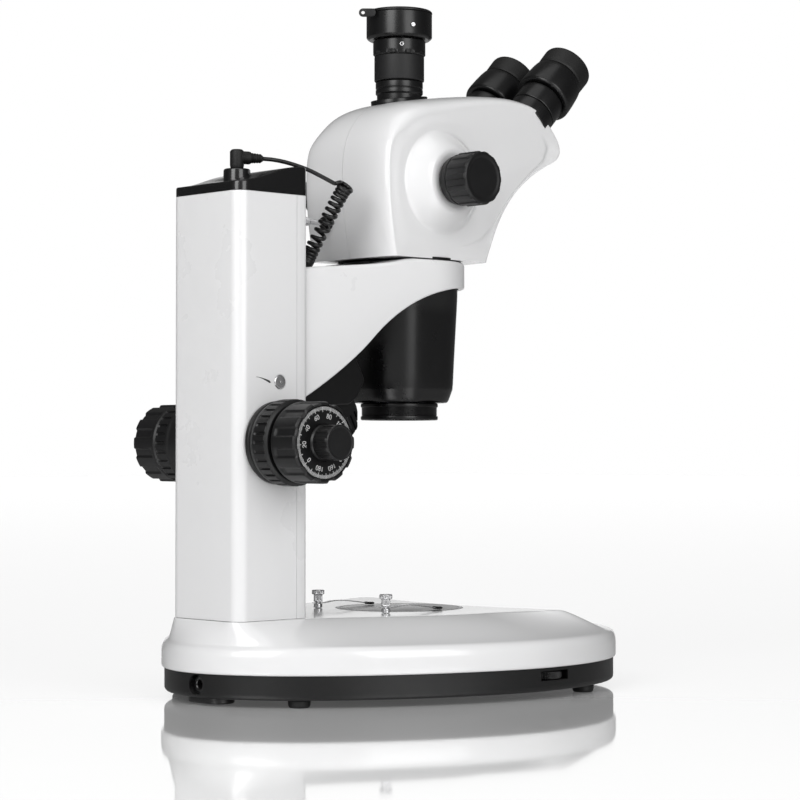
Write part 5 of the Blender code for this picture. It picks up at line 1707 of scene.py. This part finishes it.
def build_lights(studio):
    add_light("key_softbox", -30, 25, 1.9, (0.9, 1.3), studio.key_power)
    add_light("fill_softbox", 34, 18, 1.9, (1.0, 1.3), studio.fill_power)
    add_light("top_softbox", -10, 78, 1.8, (1.3, 1.3), studio.top_power)


def build_camera(studio):
    camera = bpy.data.cameras.new("camera")
    camera.lens = studio.focal
    camera.sensor_width = 36.0
    item = bpy.data.objects.new("camera", camera)
    bpy.context.scene.collection.objects.link(item)
    forward = VIEW
    right = Vector((VIEW.y, -VIEW.x, 0.0))
    item.location = Vector((-1.269, 1.205 + AXIS_Y, studio.eye_height))
    aim = forward + right * 0.00064 + Vector((0, 0, 0.02146))
    item.rotation_euler = aim.to_track_quat("-Z", "Y").to_euler()
    bpy.context.scene.camera = item


# ---------------------------------------------------------------- operators

class MICROSCOPE_OT_finishes(bpy.types.Operator):
    """Make the shader groups and the finishes"""
    bl_idname = "microscope.finishes"
    bl_label = "Finishes"

    def execute(self, context):
        build_finishes(context.scene.microscope_colours)
        finish_inner_parts()
        return {"FINISHED"}


class MICROSCOPE_OT_studio(bpy.types.Operator):
    """Set the bench, backdrop, lights and camera"""
    bl_idname = "microscope.studio"
    bl_label = "Studio"

    def execute(self, context):
        studio = context.scene.microscope_studio
        build_camera(studio)
        build_floor()
        build_backdrop(studio)
        build_lights(studio)
        return {"FINISHED"}


class MICROSCOPE_OT_lead(bpy.types.Operator):
    """Lay the lamp lead and its plug"""
    bl_idname = "microscope.lead"
    bl_label = "Lamp Lead"

    def execute(self, context):
        build_lead(context.scene.microscope_details.coil_turns)
        return {"FINISHED"}


class MICROSCOPE_OT_base(bpy.types.Operator):
    """Build the housing, tray, feet, inlet and dimmers"""
    bl_idname = "microscope.base"
    bl_label = "Base"

    def execute(self, context):
        build_housing()
        build_tray()
        return {"FINISHED"}


class MICROSCOPE_OT_stage(bpy.types.Operator):
    """Build the stage insert and its clips"""
    bl_idname = "microscope.stage"
    bl_label = "Stage"

    def execute(self, context):
        build_stage()
        return {"FINISHED"}


class MICROSCOPE_OT_pillar(bpy.types.Operator):
    """Build the pillar, its cover, cap and side disc"""
    bl_idname = "microscope.pillar"
    bl_label = "Pillar"

    def execute(self, context):
        build_pillar()
        return {"FINISHED"}


class MICROSCOPE_OT_focus(bpy.types.Operator):
    """Build the focus knobs and the graduated dial"""
    bl_idname = "microscope.focus"
    bl_label = "Focus Drive"

    def execute(self, context):
        build_focus()
        return {"FINISHED"}


class MICROSCOPE_OT_arm(bpy.types.Operator):
    """Build the focus arm, its lock screw and the lamp"""
    bl_idname = "microscope.arm"
    bl_label = "Arm and Lamp"

    def execute(self, context):
        build_arm()
        build_lamp()
        return {"FINISHED"}


class MICROSCOPE_OT_head(bpy.types.Operator):
    """Build the head, objective barrel and zoom knobs"""
    bl_idname = "microscope.head"
    bl_label = "Head"

    def execute(self, context):
        build_head()
        build_objective()
        build_zoom(context.scene.microscope_details.zoom_bars)
        return {"FINISHED"}


class MICROSCOPE_OT_viewing(bpy.types.Operator):
    """Build the eyepieces and the camera port"""
    bl_idname = "microscope.viewing"
    bl_label = "Eyepieces and Port"

    def execute(self, context):
        build_eyepieces()
        build_port()
        return {"FINISHED"}


STEPS = (
    MICROSCOPE_OT_finishes, MICROSCOPE_OT_studio, MICROSCOPE_OT_lead, MICROSCOPE_OT_base, MICROSCOPE_OT_stage,
    MICROSCOPE_OT_pillar, MICROSCOPE_OT_focus, MICROSCOPE_OT_arm, MICROSCOPE_OT_head, MICROSCOPE_OT_viewing,
)


class MICROSCOPE_PT_panel(bpy.types.Panel):
    bl_idname = "MICROSCOPE_PT_panel"
    bl_label = "Stereo Microscope"
    bl_space_type = "VIEW_3D"
    bl_region_type = "UI"
    bl_category = "Microscope"

    def draw(self, context):
        scene = context.scene
        for group in (scene.microscope_colours, scene.microscope_details, scene.microscope_studio):
            box = self.layout.box()
            for name in group.__annotations__:
                box.prop(group, name)
        for step in STEPS:
            self.layout.operator(step.bl_idname)


CLASSES = (MicroscopeColours, MicroscopeDetails, MicroscopeStudio, *STEPS, MICROSCOPE_PT_panel)


def register():
    for item in CLASSES:
        bpy.utils.register_class(item)
    bpy.types.Scene.microscope_colours = bpy.props.PointerProperty(type=MicroscopeColours)
    bpy.types.Scene.microscope_details = bpy.props.PointerProperty(type=MicroscopeDetails)
    bpy.types.Scene.microscope_studio = bpy.props.PointerProperty(type=MicroscopeStudio)


def unregister():
    del bpy.types.Scene.microscope_studio
    del bpy.types.Scene.microscope_details
    del bpy.types.Scene.microscope_colours
    for item in reversed(CLASSES):
        bpy.utils.unregister_class(item)


def main():
    register()
    for step in STEPS:
        area, name = step.bl_idname.split(".")
        getattr(getattr(bpy.ops, area), name)()


if __name__ == "__main__":
    main()
